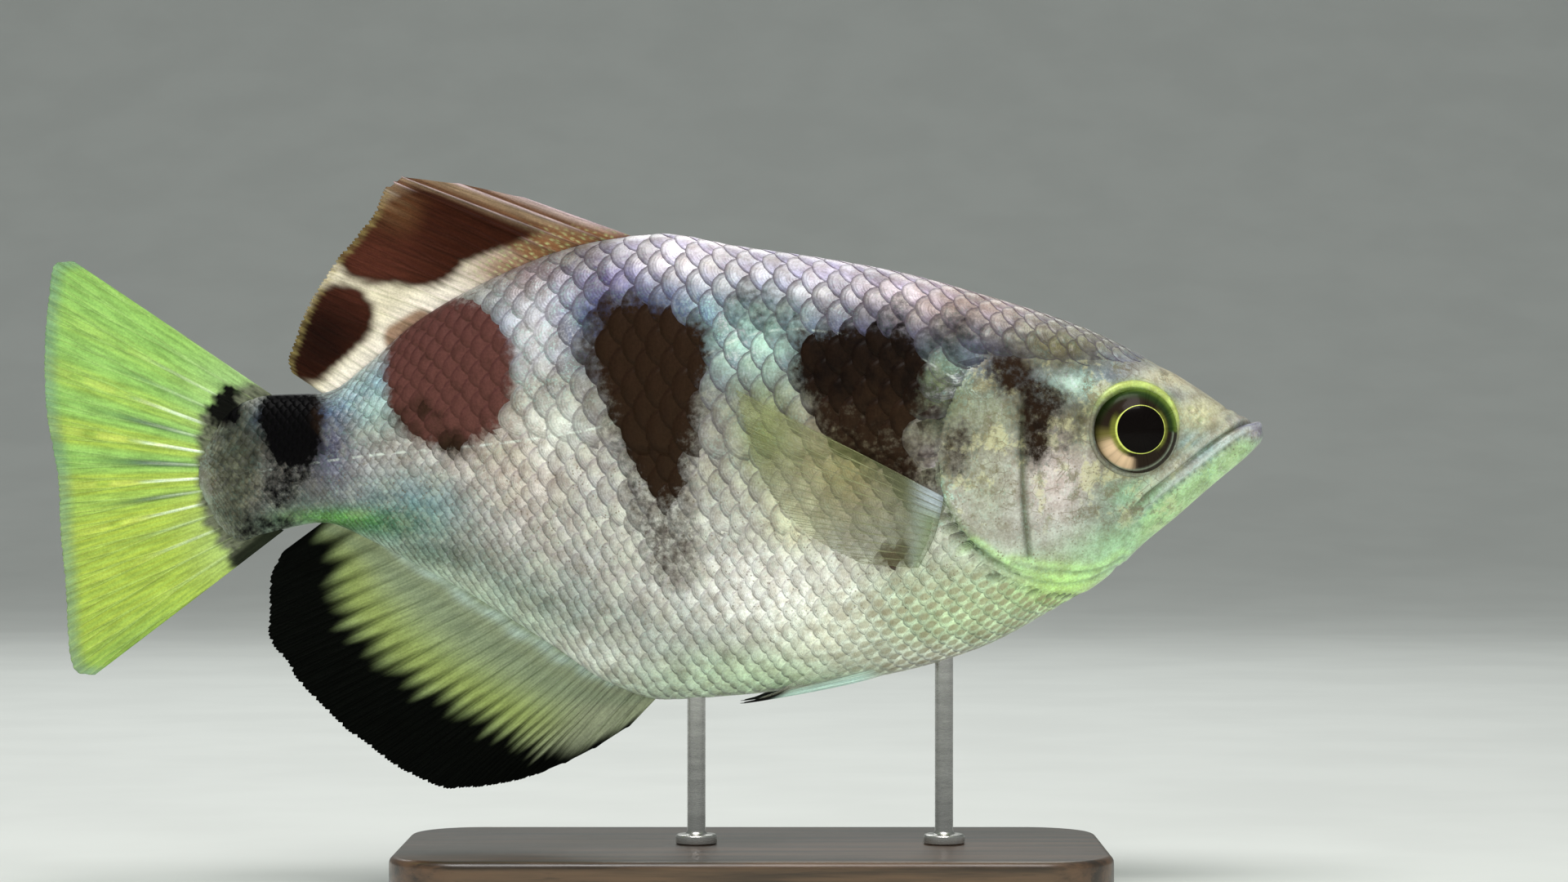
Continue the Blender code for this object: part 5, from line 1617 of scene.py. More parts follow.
@dataclass
class Eyes:
    """Both eyes, each a shallow closed dome with a lens in its pupil, in a soft rim of skin."""

    form: BodyForm
    centre: tuple[float, float] = (77.8, 1.67)
    rings: int = 56
    around: int = 96
    pupil_shift: tuple[float, float] = (0.95, 0.2)
    lens_height: float = 0.32
    ring_dip: float = 0.14
    rim_radius: float = 7.02
    rim_tube: float = 0.5
    rim_crown: float = 0.75
    iris_dark: Colour = (0.016, 0.01, 0.007)
    gold: Colour = (0.19, 0.2, 0.035)
    olive: Colour = (0.12, 0.1, 0.03)
    moss: Colour = (0.12, 0.18, 0.03)
    copper: Colour = (0.56, 0.38, 0.27)
    green: Colour = (0.018, 0.034, 0.01)
    grey: Colour = (0.2, 0.22, 0.18)
    rim_moss: Colour = (0.06, 0.1, 0.02)
    rim_dark: Colour = (0.05, 0.05, 0.04)

    def build(self, finish: EyeFinish, skin_finish: HideFinish, markings: Markings) -> list[bpy.types.Object]:
        """Makes both eyes and their rims.

        Args:
            finish: The eyes' finish.
            skin_finish: The rims' finish.
            markings: The hide's colours.

        Returns:
            The new objects.
        """
        material, hide = finish.material(), skin_finish.material()
        made = []
        for side in Side:
            made.append(self._ball(side).make(material, "eye", ["eye_" + side.end]))
            made.append(self._rim(side, markings).make(hide, "skin"))
        return made

    def _ball(self, side: Side) -> Piece:
        """An eye: an ellipsoid about Y, with rings packed towards the front, and a lens raised on its pupil.

        Args:
            side: The side of the fish.

        Returns:
            The piece.
        """
        lean = math.pi * np.linspace(0, 1, self.rings + 2)[1:-1] ** 1.35
        lean, turn = np.meshgrid(lean, full_turn(self.around), indexing="ij")
        x = EYE_RADIUS * np.sin(lean) * np.cos(turn)
        z = EYE_RADIUS * np.sin(lean) * np.sin(turn)
        out = EYE_DEPTH * np.cos(lean)
        x, z = np.append(x.ravel(), (0, 0)), np.append(z.ravel(), (0, 0))
        out = np.append(out.ravel(), (EYE_DEPTH, -EYE_DEPTH))
        front = out > 0
        px, pz = x - self.pupil_shift[0], z - self.pupil_shift[1]
        pupil_away = np.hypot(px, pz)
        lens = np.clip(1 - np.square(pupil_away / (PUPIL_RADIUS + 0.2)), 0, 1) ** 0.6
        lens, dip = self.lens_height * lens, self.ring_dip * hump(pupil_away - 5, 0.7)
        out = out + np.where(front, lens - dip, 0)
        y = side.value * (float(self.form.flank(*self.centre)) - EYE_SUNK + out)
        points = np.stack([self.centre[0] + x, y, self.centre[1] + z], axis=1)
        turn = np.degrees(np.arctan2(pz, px)) % 360
        side_share = ease(110, 170, turn) * ease(270, 220, turn)
        iris = np.stack([side_share, pupil_away, np.hypot(x, z)], axis=1)
        fan = np.stack([px, pz, np.zeros(len(px))], axis=1) * (4 / np.maximum(pupil_away, 0.5))[:, None]
        return Piece("eye_ball_" + side.end, points, ring_faces(self.rings, self.around),
                     colours={"tint": self._paint(x, z, px, pz)}, vectors={"iris": iris, "fan": fan})

    def _paint(self, x: Array, z: Array, px: Array, pz: Array) -> Array:
        """The eye's colours.

        Args:
            x: Places from the eye's own middle.
            z: Their heights.
            px: The same places from the pupil's middle.
            pz: Their heights.

        Returns:
            The colours.
        """
        away, near = np.hypot(x, z), np.hypot(px, pz)
        turn = np.degrees(np.arctan2(pz, px)) % 360
        spread = np.degrees(np.arctan2(z, x)) % 360
        left = ease(140, 165, turn) * ease(250, 225, turn)
        right = np.clip(ease(300, 330, turn) + ease(60, 30, turn), 0, 1)
        low_left = ease(168, 188, spread) * ease(250, 210, spread)
        copper = ease(186, 214, spread) * ease(276, 260, spread)
        return layered(self.iris_dark, [
            (self.green, ease(4.9, 6.2, away) * ease(190, 120, spread)),
            (self.olive, low_left * ease(6.5, 6.1, away)),
            (self.copper, copper * ease(4.55, 4.95, near) * ease(6.5, 6.2, away)),
            (self.gold, left * ease(5.25, 4.6, near) * 0.6),
            (self.gold, 0.6 * ease(4.65, 4.1, near) * right),
            (self.grey, hump(away - 6.35, 0.14) * ease(205, 240, spread) * 0.9),
            (self.moss, ease(6.1, 7, away) * ease(178, 140, spread) * 0.9)])

    def _rim(self, side: Side, markings: Markings, around: int = 120, sides: int = 16) -> Piece:
        """The soft rim round an eye: a tube on a circle that lies in the flank, thicker above.

        Args:
            side: The side of the fish.
            markings: The hide's colours.
            around: How many steps the circle has.
            sides: How many steps the tube has.

        Returns:
            The piece.
        """
        turn, ring = full_turn(around)[:, None], full_turn(sides)[None, :]
        crown = ease(0, 0.95, np.sin(turn + 0.2))
        tube = self.rim_tube * (1 + self.rim_crown * crown)
        radius = self.rim_radius + 0.3 * crown + tube * np.cos(ring)
        x = self.centre[0] + radius * np.cos(turn)
        z = self.centre[1] + radius * np.sin(turn)
        seat = self.form.flank(self.centre[0] + self.rim_radius * np.cos(turn),
                               self.centre[1] + self.rim_radius * np.sin(turn))
        y = side.value * (seat - 0.12 - 0.15 * crown + tube * np.sin(ring))
        points = np.stack([x, y, z], axis=-1).reshape(-1, 3)
        flat_x, flat_z = side_view(points, self.form)
        tint = markings.tint(flat_x, flat_z)
        high = ease(0.15, 0.8, np.broadcast_to(np.cos(turn - 1.15), x.shape)).ravel()
        inner = ease(0.2, -0.5, np.broadcast_to(np.cos(ring), x.shape)).ravel()
        dark = (1 - high) * (0.35 + 0.65 * inner)
        tint = layered(tint[:, :3], [
            (np.array(markings.lid_colour) * 1.1, 0.95 * high), (self.rim_moss, 0.85 * high * inner),
            (self.rim_dark, 0.85 * dark)], tint[:, 3])
        marks, lustre = (np.tile(row, (len(flat_x), 1)) for row in ((-3, 0, 4), (0.1, 0.1, 0)))
        return Piece("eye_rim_" + side.end, points, ring_faces(around, sides, closed=True),
                     colours={"tint": tint}, vectors={"marks": marks, "lustre": lustre})


# Fins

@dataclass(frozen=True)
class FinPlaces:
    """Places on a fin: shares along its root and out from it, distances from its margin, rays' numbers."""

    points: Array
    share: Array
    t: Array
    reach: Array
    ray: Array

    @property
    def off(self) -> Array:
        """How far the nearest ray is, as a share of the step between two."""
        return np.abs(self.ray - np.round(self.ray))


@dataclass
class Fin:
    """A fin as a thin closed sheet over share, 0 to 1 along its root, and t, 0 at its root and 1 at its end.

    Its half thickness is the membrane's, plus a ridge on each ray that falls off as a bell curve of the
    distance from the ray's middle line. A soft ray forks twice on its way to the margin. The rays are given
    by their shares of the root, each with its stiffness; roots and margins by share, x and height.
    """

    form: BodyForm
    side: Optional[Side] = None
    finish: FinFinish = FinFinish()
    node: str = ""
    slot: str = "clear_fin"
    rays: tuple[float, ...] = ()
    stiff: tuple[float, ...] = ()
    roots: Points = ()
    margins: Points = ()
    sink: tuple[float, float] = (0, 0)
    rows: int = 64
    steps: int = 14
    root_half: float = 0.42
    margin_half: float = 0.07
    ridge: float = 0.2
    ridge_width: float = 0.11
    draw_in: float = 0.55
    uneven: float = 0.5
    fork: float = 0.22
    seed: int = 3

    def place(self, share: Array, t: Array) -> tuple[Array, Array, Array]:
        """The middle surface's points, its unit normals and the way back to the root."""
        raise NotImplementedError

    def paint(self, at: FinPlaces) -> Array:
        """The fin's colours, with how solid it is as the fourth number."""
        raise NotImplementedError

    def lines(self, share: Array, t: Array) -> tuple[Array, Array, Array]:
        """Places on straight lines from root to margin, as seen from the side.

        Args:
            share: Which line, as a share of the root.
            t: How far along it.

        Returns:
            Their x, their height, and the unit way back to the root.
        """
        root = np.stack([smooth(self.roots, c, share) + self.sink[c - 1] for c in (1, 2)], axis=-1)
        margin = np.stack([smooth(self.margins, c, share) for c in (1, 2)], axis=-1)
        flat = root + (margin - root) * t[..., None]
        return flat[..., 0], flat[..., 1], unit(root - margin)

    def build(self) -> bpy.types.Object:
        """Makes the fin and dresses it.

        Returns:
            The fin's object.
        """
        numbers = np.arange(len(self.rays))
        number = np.linspace(0, numbers[-1], numbers[-1] * self.steps + 1)
        along = np.linspace(0, 1, self.rows) ** 0.92
        share, along = np.meshgrid(np.interp(number, numbers, self.rays), along, indexing="ij")
        ray = np.broadcast_to(number[:, None], share.shape)
        points, normals, inward = self.place(share, along)
        soft = ease(1.9, 1.2, np.interp(ray, numbers, self.stiff))
        off = np.abs(np.abs(ray - np.round(ray)) - self.fork * ease(0.3, 0.75, along) * soft)
        off = np.abs(off - 0.5 * self.fork * ease(0.62, 1, along) * soft)
        crest = hump(off, self.ridge_width)
        nearest = np.asarray(self.stiff, float)[np.round(number).astype(int)][:, None]
        half = self.root_half + (self.margin_half - self.root_half) * along ** 0.7
        half = half + self.ridge * nearest * crest * (1 - 0.72 * along)
        edge = np.minimum(number, number[-1] - number)[:, None]
        half = half * (0.35 + 0.65 * ease(0, 0.25, edge))
        nicks = np.random.default_rng(self.seed).uniform(0, self.uneven, len(self.rays))
        shorter = np.interp(number, numbers, nicks)[:, None]
        back = (self.draw_in * (1 - crest) + shorter) * ease(0.72, 1, along)
        points = points + inward * back[..., None]
        reach = np.linalg.norm(points - points[:, :1], axis=-1)
        paint = self.paint(FinPlaces(points, share, along, reach[:, -1:] - reach, ray)).reshape(-1, 4)
        weave = np.stack([ray, along, reach], axis=-1).reshape(-1, 3)
        shells = [(points + sign * normals * half[..., None]).reshape(-1, 3) for sign in (-1, 1)]
        ending = "" if self.side is None else "_" + self.side.end
        faces = sheet_faces(len(number), self.rows)
        piece = Piece(f"{self.finish.name}_sheet{ending}", np.vstack(shells), faces,
                      {"tint": np.tile(paint, (2, 1))}, {"weave": np.tile(weave, (2, 1))})
        finish = replace(self.finish, name=self.finish.name + ending)
        return piece.make(finish.material(), self.slot, [self.node + ending])


@dataclass
class MedianFin(Fin):
    """A fin on the body's bent middle plane, with a slight ripple towards its margin."""

    ripple: float = 0.5
    ripple_turns: float = 2.2

    def place(self, share: Array, t: Array) -> tuple[Array, Array, Array]:
        """Straight lines from root to margin, with the ripple growing as t squared.

        Args:
            share: The shares along the root.
            t: The shares from root to margin.

        Returns:
            The points, the unit normals and the way back to the root.
        """
        x, z, back = self.lines(share, t)
        y = self.form.bend(x) + self.ripple * t * t * np.sin(2 * math.pi * self.ripple_turns * share)
        slope = self.form.bend_slope(x)
        normal = unit(np.stack([-slope, np.ones_like(slope), np.zeros_like(slope)], axis=-1))
        inward = np.stack([back[..., 0], back[..., 0] * slope, back[..., 1]], axis=-1)
        return np.stack([x, y, z], axis=-1), normal, inward


@dataclass
class DorsalFin(MedianFin):
    """The fin on the back: four strong spines laid back, then soft rays, with two dark blotches."""

    finish: FinFinish = FinFinish("dorsal_fin", (0.16, 0.09, 0.05), 0.03)
    node: str = "dorsal_fin"
    slot: str = "dark_fin"
    rays: tuple[float, ...] = (0, 0.08, 0.16, 0.24, *np.linspace(0.32, 0.985, 14))
    stiff: tuple[float, ...] = (2.9,) * 4 + (1,) * 14
    roots: Points = ((0, 0.8, 34.2), (0.08, -4, 33.6), (0.16, -8.5, 32.9), (0.24, -13, 31.8),
                     (0.32, -17.5, 30.4), (0.6, -33, 23.4), (0.85, -47.5, 12.6), (1, -54, 8.6))
    margins: Points = ((0, -21.7, 40.1), (0.08, -32.5, 42.4), (0.16, -42.1, 43.6), (0.24, -43.2, 42.7),
                       (0.32, -44.4, 41.4), (0.42, -46.5, 37), (0.55, -51, 31.5), (0.7, -55.5, 24.8),
                       (0.85, -58.6, 18.2), (0.95, -60, 12.9), (1, -59.3, 10.7))
    sink: tuple[float, float] = (1.2, -2.6)
    spines: int = 4
    cream: Colour = (0.56, 0.49, 0.4)
    rosy: Colour = (0.66, 0.58, 0.56)
    tan: Colour = (0.165, 0.095, 0.055)
    lavender: Colour = (0.5, 0.37, 0.42)
    dark: Colour = (0.024, 0.006, 0.003)
    olive: Colour = (0.22, 0.17, 0.07)
    brown: Colour = (0.085, 0.034, 0.015)
    rust: Colour = (0.17, 0.075, 0.035)
    glint: Colour = (0.36, 0.4, 0.2)
    maroon: Colour = (0.072, 0.02, 0.013)
    night: Colour = (0.006, 0.002, 0.0015)
    blotches: tuple[Spot, ...] = (
        Spot((-46.5, 32), (-38, 32.4), (6.2, 7.2), 1, 1.1),
        Spot((-38, 34.4), (-20, 35.8), (7.4, 2.2), 1, 1.1),
        Spot((-51.4, 20.4), (-56.6, 13.6), (5.4, 4.2), 1, 1),
    )
    foot: Spot = Spot((-42, 17), (-38.4, 19.4), (2.6, 2.4), 1, 0.9)

    def paint(self, at: FinPlaces) -> Array:
        """Cream, with tan spines and lavender edges in front, dark blotches, and an olive margin behind.

        Args:
            at: The places on the fin.

        Returns:
            The colours.
        """
        (x, _, z), share, t, reach, ray = np.moveaxis(at.points, -1, 0), at.share, at.t, at.reach, at.ray
        spiny = ease(self.spines + 0.4, self.spines - 0.6, ray)
        lower = ray - np.floor(ray)
        under = ease(1.6, 2.8, ray)
        fringe = 0.5 + 0.5 * np.sin(9 * ray)
        ragged = np.max([spot.depth(x, z) for spot in self.blotches], axis=0)
        ragged += 0.1 * np.sin(11 * ray + 2 * np.sin(0.8 * x)) + 0.14 * np.sin(1.7 * x + 5 * ray)
        inner = ease(0, 1.6, ragged) * under
        glints = ease(0.35, 0.8, np.sin(3.7 * x + 2 * np.sin(1.3 * z)) * np.sin(4.1 * z + np.sin(2.1 * x)))
        rear = ease(1.6, 0.4, reach) * (1 - spiny)
        low = ease(0.5, 0.16, t) * ease(0.56, 0.38, share)
        return layered(self.cream, [
            (self.rosy, 0.8 * ease(0.5, 0.2, t)), (self.tan, 0.9 * spiny),
            (self.brown, 0.9 * spiny * ease(0.35, 0.8, lower)),
            (self.lavender, spiny * 0.8 * hump(lower - 0.02, 0.12)),
            (self.lavender, spiny * 0.7 * ease(0.9, 0, ray)),
            (self.rust, 0.9 * low), (self.glint, 0.7 * low * glints),
            (self.rust, 0.85 * ease(-0.6, 1, self.foot.depth(x, z))),
            (self.dark, ease(-1.1, 1, ragged) * under),
            (self.maroon, 0.75 * inner * hump(x + 47, 10) * hump(z - 28, 8)),
            (self.night, 0.85 * inner * hump(x + 54, 7) * hump(z - 17, 7)),
            (self.brown, 0.85 * hump(ray - 4.9, 1.3) * ease(9, 4, reach)),
            (self.olive, 0.6 * rear * (0.4 + 0.6 * fringe)),
            (self.tan, 0.6 * hump(ray - 4.6, 1) * ease(7, 1.5, reach) * fringe)])


@dataclass
class AnalFin(MedianFin):
    """The fin under the tail: green within, with a wide black margin."""

    finish: FinFinish = FinFinish("anal_fin", (0.012, 0.013, 0.008), 0.1, coat=0, specular=0.008)
    node: str = "anal_fin"
    slot: str = "anal_fin"
    rays: tuple[float, ...] = (0, 0.05, 0.1, *np.linspace(0.16, 0.985, 25))
    stiff: tuple[float, ...] = (2.2,) * 3 + (1,) * 25
    roots: Points = ((0, 0.8, -42.6), (0.05, -1.2, -42.1), (0.1, -3, -41.6), (0.16, -5, -40.8),
                     (0.27, -7.6, -39.5), (0.36, -10.2, -38), (0.46, -14, -35.8), (0.56, -18.6, -33.1),
                     (0.66, -24.2, -29.9), (0.76, -31, -25.8), (0.86, -38.6, -21.3), (0.94, -47, -16.8),
                     (1, -56.6, -13.8))
    margins: Points = ((0, -4.3, -47), (0.05, -9.9, -50.6), (0.1, -15, -53.3), (0.16, -20, -55.2),
                       (0.27, -27.5, -56.8), (0.36, -33.5, -57.2), (0.46, -41, -54.5), (0.56, -47.5, -50.1),
                       (0.66, -54, -44.3), (0.76, -59.5, -37.4), (0.86, -63.2, -30.5), (0.94, -63, -23),
                       (1, -60.3, -16.8))
    sink: tuple[float, float] = (1.6, 2.6)
    steps: int = 12
    ripple: float = 0.6
    black: Colour = (0.0016, 0.0018, 0.0016)
    green: Colour = (0.19, 0.235, 0.125)
    olive: Colour = (0.23, 0.27, 0.08)
    pale: Colour = (0.36, 0.43, 0.44)
    deep: Colour = (0.13, 0.165, 0.12)
    grey: Colour = (0.21, 0.21, 0.17)
    dusk: Colour = (0.024, 0.03, 0.008)
    black_widths: Points = ((0, 0.8), (0.05, 1.8), (0.1, 3.2), (0.16, 5.2), (0.27, 9), (0.36, 12.6),
                            (0.46, 14.4), (0.56, 14), (0.66, 13), (0.76, 12.2), (0.86, 11.8),
                            (0.94, 11), (1, 7.5))

    def paint(self, at: FinPlaces) -> Array:
        """Black by the distance from the margin, with its edge drawn in along the rays, and green within.

        Args:
            at: The places on the fin.

        Returns:
            The colours.
        """
        share, t, reach, ray, off = at.share, at.t, at.reach, at.ray, at.off
        width = smooth(self.black_widths, 1, share)
        teeth = 3.4 * (0.25 - off) + 0.8 * np.sin(2.3 * ray) + 0.6 * np.sin(5.1 * ray + 1)
        streak = hump(off, 0.26) * ease(width + 10, width + 0.5, reach) * ease(0.06, 0.26, share)
        glow = hump(reach - width - 4, 5) * ease(0.08, 0.3, share)
        line = hump(t - 0.105 - 0.01 * np.sin(1.7 * ray), 0.035) * (0.6 + 0.15 * np.sin(2.9 * ray))
        return layered(self.green, [
            (self.olive, 0.75 * glow), (self.grey, 0.75 * ease(0.45, 0.12, share)),
            (self.grey, 0.6 * ease(0.5, 0.15, t)), (self.deep, 0.4 * hump(t - 0.24, 0.08)),
            (self.pale, line), (self.dusk, 0.75 * streak),
            (self.black, ease(width + 3.4 + teeth, width - 2.2 + teeth, reach))])


@dataclass
class TailFin(MedianFin):
    """The tail fin: yellow-green and partly see-through, with white ray bases and a pale margin."""

    finish: FinFinish = FinFinish("tail_fin", (0.4, 0.52, 0.2), 0.22, 0.06, 0.8)
    node: str = "caudal_fin"
    slot: str = "tail_fin"
    rays: tuple[float, ...] = tuple(np.linspace(0, 1, 16))
    stiff: tuple[float, ...] = (1,) * 16
    roots: Points = ((0, -60.5, 6.2), (0.15, -65, 3.6), (0.3, -67.2, -0.4), (0.5, -68, -5),
                     (0.7, -67.2, -9.6), (0.85, -64.8, -13.2), (1, -60.5, -14.6))
    margins: Points = ((0, -93.2, 29), (0.03, -95.9, 28.6), (0.08, -96.8, 25.2), (0.2, -97.5, 16.8),
                       (0.35, -97.2, 6), (0.5, -95.7, -5.2), (0.65, -95.2, -14.5), (0.8, -94.2, -24),
                       (0.92, -93.9, -33.4), (0.97, -92.8, -37.4), (1, -90.2, -37.9))
    rows: int = 72
    steps: int = 18
    draw_in: float = 0.2
    uneven: float = 0.15
    ripple: float = 0.8
    lime: Colour = (0.255, 0.43, 0.115)
    yellow: Colour = (0.34, 0.4, 0.055)
    straw: Colour = (0.6, 0.62, 0.15)
    leaf: Colour = (0.14, 0.3, 0.09)
    white: Colour = (0.8, 0.88, 0.8)
    lavender: Colour = (0.17, 0.29, 0.25)
    dusk: Colour = (0.045, 0.095, 0.075)
    grey: Colour = (0.27, 0.37, 0.21)
    foot: Colour = (0.115, 0.12, 0.088)
    night: Colour = (0.012, 0.014, 0.009)
    coal: Colour = (0.0035, 0.0035, 0.003)
    foot_line: Points = ((-62.5, 9.6), (-69.5, 8.2), (-72.8, 4.7), (-73.9, 2), (-74, -5),
                         (-73.3, -12), (-71.1, -15.9), (-68, -21))
    spot: Spot = Spot((-69.4, 7.4), (-70.2, 4.8), (1.5, 2.4), 1, 0.8)

    def paint(self, at: FinPlaces) -> Array:
        """Lime above and yellow below, white ray bases and dusky gaps in the middle, and a grey-brown foot.

        Args:
            at: The places on the fin.

        Returns:
            The colours, and how solid the fin is.
        """
        (x, _, z), share, t, ray, off = np.moveaxis(at.points, -1, 0), at.share, at.t, at.ray, at.off
        pair = np.abs(ray / 2 - np.round(ray / 2))
        middle = hump(share - 0.48, 0.27)
        gap = ease(0.37, 0.47, pair) * hump(t - 0.44, 0.24) * hump(share - 0.46, 0.24)
        pale = ease(0.5, 0.12, t) * (1 - 0.8 * middle)
        mottle = ease(0, 0.8, np.sin(2.9 * x + 2 * np.sin(1.7 * z)) * np.sin(3.3 * z + np.sin(2.3 * x)))
        glints = ease(-1.1, 0.5, np.sin(0.8 * x + 2.4 * ray) + 0.5 * np.sin(2.1 * x + 1.1 * ray))
        near = ease(0.62, 0.3, t)
        lines = 0.5 + 0.5 * np.cos(2 * math.pi * off / 0.24)
        foot = line_field(x, z, spline(self.foot_line, 30))[0]
        footed = ease(-0.9, 0.9, foot + 0.4 * np.sin(4 * ray) + 0.2 * np.sin(9 * ray))
        above = z - (-13.8 + 0.81 * (x + 60.9))
        black_spot = self.spot.depth(x, z) + 0.5 * np.sin(2.6 * z + 1.3 * x) + 0.3 * np.sin(6.1 * x)
        solid = 0.98 - 0.22 * gap - 0.3 * ease(3.5, 0.3, at.reach)
        return layered(self.lime, [
            (self.yellow, 0.85 * ease(0.42, 0.7, share)),
            (self.yellow, 0.75 * middle * ease(0.34, 0.16, pair)),
            (self.leaf, 0.25 * lines * ease(0.2, 0.5, t)), (self.dusk, 0.92 * gap),
            (self.grey, 0.55 * pale),
            (self.white, near * middle * ease(0.065, 0.02, pair)),
            (self.white, 0.45 * near * middle * ease(0.1, 0.03, off)),
            (self.straw, 0.6 * middle * ease(0.1, 0.02, pair) * hump(t - 0.64, 0.26) * glints),
            (self.leaf, 0.4 * ease(0.9, 1, share) * ease(0.3, 0.8, t)),
            (self.lavender, 0.5 * ease(3, 0.3, at.reach)), (self.foot, footed),
            (self.night, footed * ease(2.2, 0.7, above)), (self.night, 0.55 * footed * mottle),
            (self.coal, ease(-0.9, 0.7, black_spot))], solid)


@dataclass
class PectoralFin(Fin):
    """A pectoral fin, which leaves the flank behind the gill opening and fans out over it, nearly clear."""

    finish: FinFinish = FinFinish("pectoral_fin", (0.24, 0.235, 0.14), 0.7, 0.08, 0.6)
    node: str = "pectoral_fin"
    rays: tuple[float, ...] = tuple(np.linspace(0, 1, 13))
    stiff: tuple[float, ...] = (0.7,) * 13
    roots: Points = ((0, 46.8, -8.9), (0.5, 45.6, -14.5), (1, 42.8, -20.4))
    margins: Points = ((0, 13.4, 8.3), (0.25, 15.2, 0), (0.5, 18.7, -8.1), (0.75, 24.8, -14.8),
                       (1, 33.3, -19.6))
    rows: int = 48
    root_half: float = 0.34
    margin_half: float = 0.05
    ridge: float = 0.12
    lifts: tuple[float, float, float] = (-0.4, 5.4, 0.75)
    splay: float = 0.18
    membrane: Colour = (0.15, 0.155, 0.095)
    base: Colour = (0.44, 0.48, 0.58)
    lower_base: Colour = (0.24, 0.29, 0.18)
    upper: Colour = (0.2, 0.21, 0.08)

    def place(self, share: Array, t: Array) -> tuple[Array, Array, Array]:
        """Lines from root to margin on the flank, lifted off it by a power of t.

        Args:
            share: The shares along the root.
            t: The shares from root to margin.

        Returns:
            The points, the unit normals and the way back to the root.
        """
        x, z, back = self.lines(share, t)
        sign, flank, step = self.side.value, self.form.flank, 0.05
        first, last, power = self.lifts
        y = sign * (flank(x, z) + first + (last - first) * t ** power)
        rise_x = (flank(x + step, z) - flank(x - step, z)) / (2 * step) - self.splay
        rise_z = (flank(x, z + step) - flank(x, z - step)) / (2 * step)
        normal = unit(np.stack([-sign * rise_x, np.ones_like(x), -sign * rise_z], axis=-1))
        inward = np.stack([back[..., 0], np.zeros_like(x), back[..., 1]], axis=-1)
        return np.stack([x, y, z], axis=-1), normal, inward

    def paint(self, at: FinPlaces) -> Array:
        """A pale fleshy base, then rays in a membrane that is almost clear.

        Args:
            at: The places on the fin.

        Returns:
            The colours, and how solid the fin is.
        """
        share, t = at.share, at.t
        fleshy = ease(0.2, 0.03, t)
        solid = 0.2 + (0.46 - 0.28 * ease(0.15, 0.6, share)) * ease(0.34, 0.02, t)
        return layered(self.membrane, [
            (self.upper, 0.7 * ease(0.5, 0.1, share) * ease(0.2, 0.5, t)), (self.base, fleshy),
            (self.lower_base, fleshy * ease(0.12, 0.42, share))], solid)


@dataclass
class PelvicFin(Fin):
    """A pelvic fin, folded back under the belly beside the keel."""

    finish: FinFinish = FinFinish("pelvic_fin", (0.7, 0.82, 0.84), 0.5, 0.1, 0.3)
    node: str = "pelvic_fin"
    rays: tuple[float, ...] = tuple(np.linspace(0, 1, 7))
    stiff: tuple[float, ...] = (1.9,) + (0.8,) * 6
    rows: int = 44
    root_half: float = 0.36
    margin_half: float = 0.06
    ridge: float = 0.13
    root_x: float = 40.5
    lengths: tuple[float, float] = (26.5, 21)
    angles: tuple[float, float] = (-82, -56)
    tip_angle: float = -80
    lifts: tuple[float, float] = (-1.3, 1.5)
    white: Colour = (0.72, 0.94, 0.96)
    grey: Colour = (0.56, 0.54, 0.46)
    black: Colour = (0.01, 0.01, 0.01)

    def place(self, share: Array, t: Array) -> tuple[Array, Array, Array]:
        """Rays that run back along the belly's own section, each at an angle that closes towards the tip.

        Args:
            share: The shares along the root.
            t: The shares from root to margin.

        Returns:
            The points, the unit normals and the way back to the root.
        """
        x = self.root_x - (self.lengths[0] + (self.lengths[1] - self.lengths[0]) * share) * t
        start = self.angles[0] + (self.angles[1] - self.angles[0]) * share
        angle = np.radians(start + (self.tip_angle - start) * t ** 2 * 0.75)
        points = self._section(x, angle)
        ahead = self._section(x, angle + 0.01) - points
        none = np.zeros_like(x)
        normal = unit(np.stack([none, ahead[..., 2], -ahead[..., 1]], axis=-1))
        lift = self.lifts[0] + (self.lifts[1] - self.lifts[0]) * np.sqrt(t)
        points = points + normal * lift[..., None]
        mirror = np.array([1, self.side.value, 1])
        return points * mirror, normal * mirror, np.stack([none + 1, none, none], axis=-1)

    def _section(self, x: Array, angle: Array) -> Array:
        """Points of the left side of the body's section."""
        away, height = self.form.half_section(x, angle)
        return np.stack([x, self.form.bend(x) + away, height], axis=-1)

    def paint(self, at: FinPlaces) -> Array:
        """Pale blue, with a black tip along the outer ray.

        Args:
            at: The places on the fin.

        Returns:
            The colours, and how solid the fin is.
        """
        tip = ease(0.72, 0.86, at.t) * ease(0.85, 0.45, at.share)
        blue = ease(0.46, 0.26, at.share) * ease(0.06, 0.3, at.t)
        solid = np.maximum(0.1 + 0.8 * blue, tip)
        return layered(self.grey, [(self.white, blue), (self.black, tip)], solid)


def build_fins(form: BodyForm) -> list[bpy.types.Object]:
    """Makes and dresses all seven fins.

    Args:
        form: The body's form.

    Returns:
        The new objects.
    """
    fins = [DorsalFin(form), AnalFin(form), TailFin(form)]
    fins += [kind(form, side) for side in Side for kind in (PectoralFin, PelvicFin)]
    return [fin.build() for fin in fins]


# Stand and studio

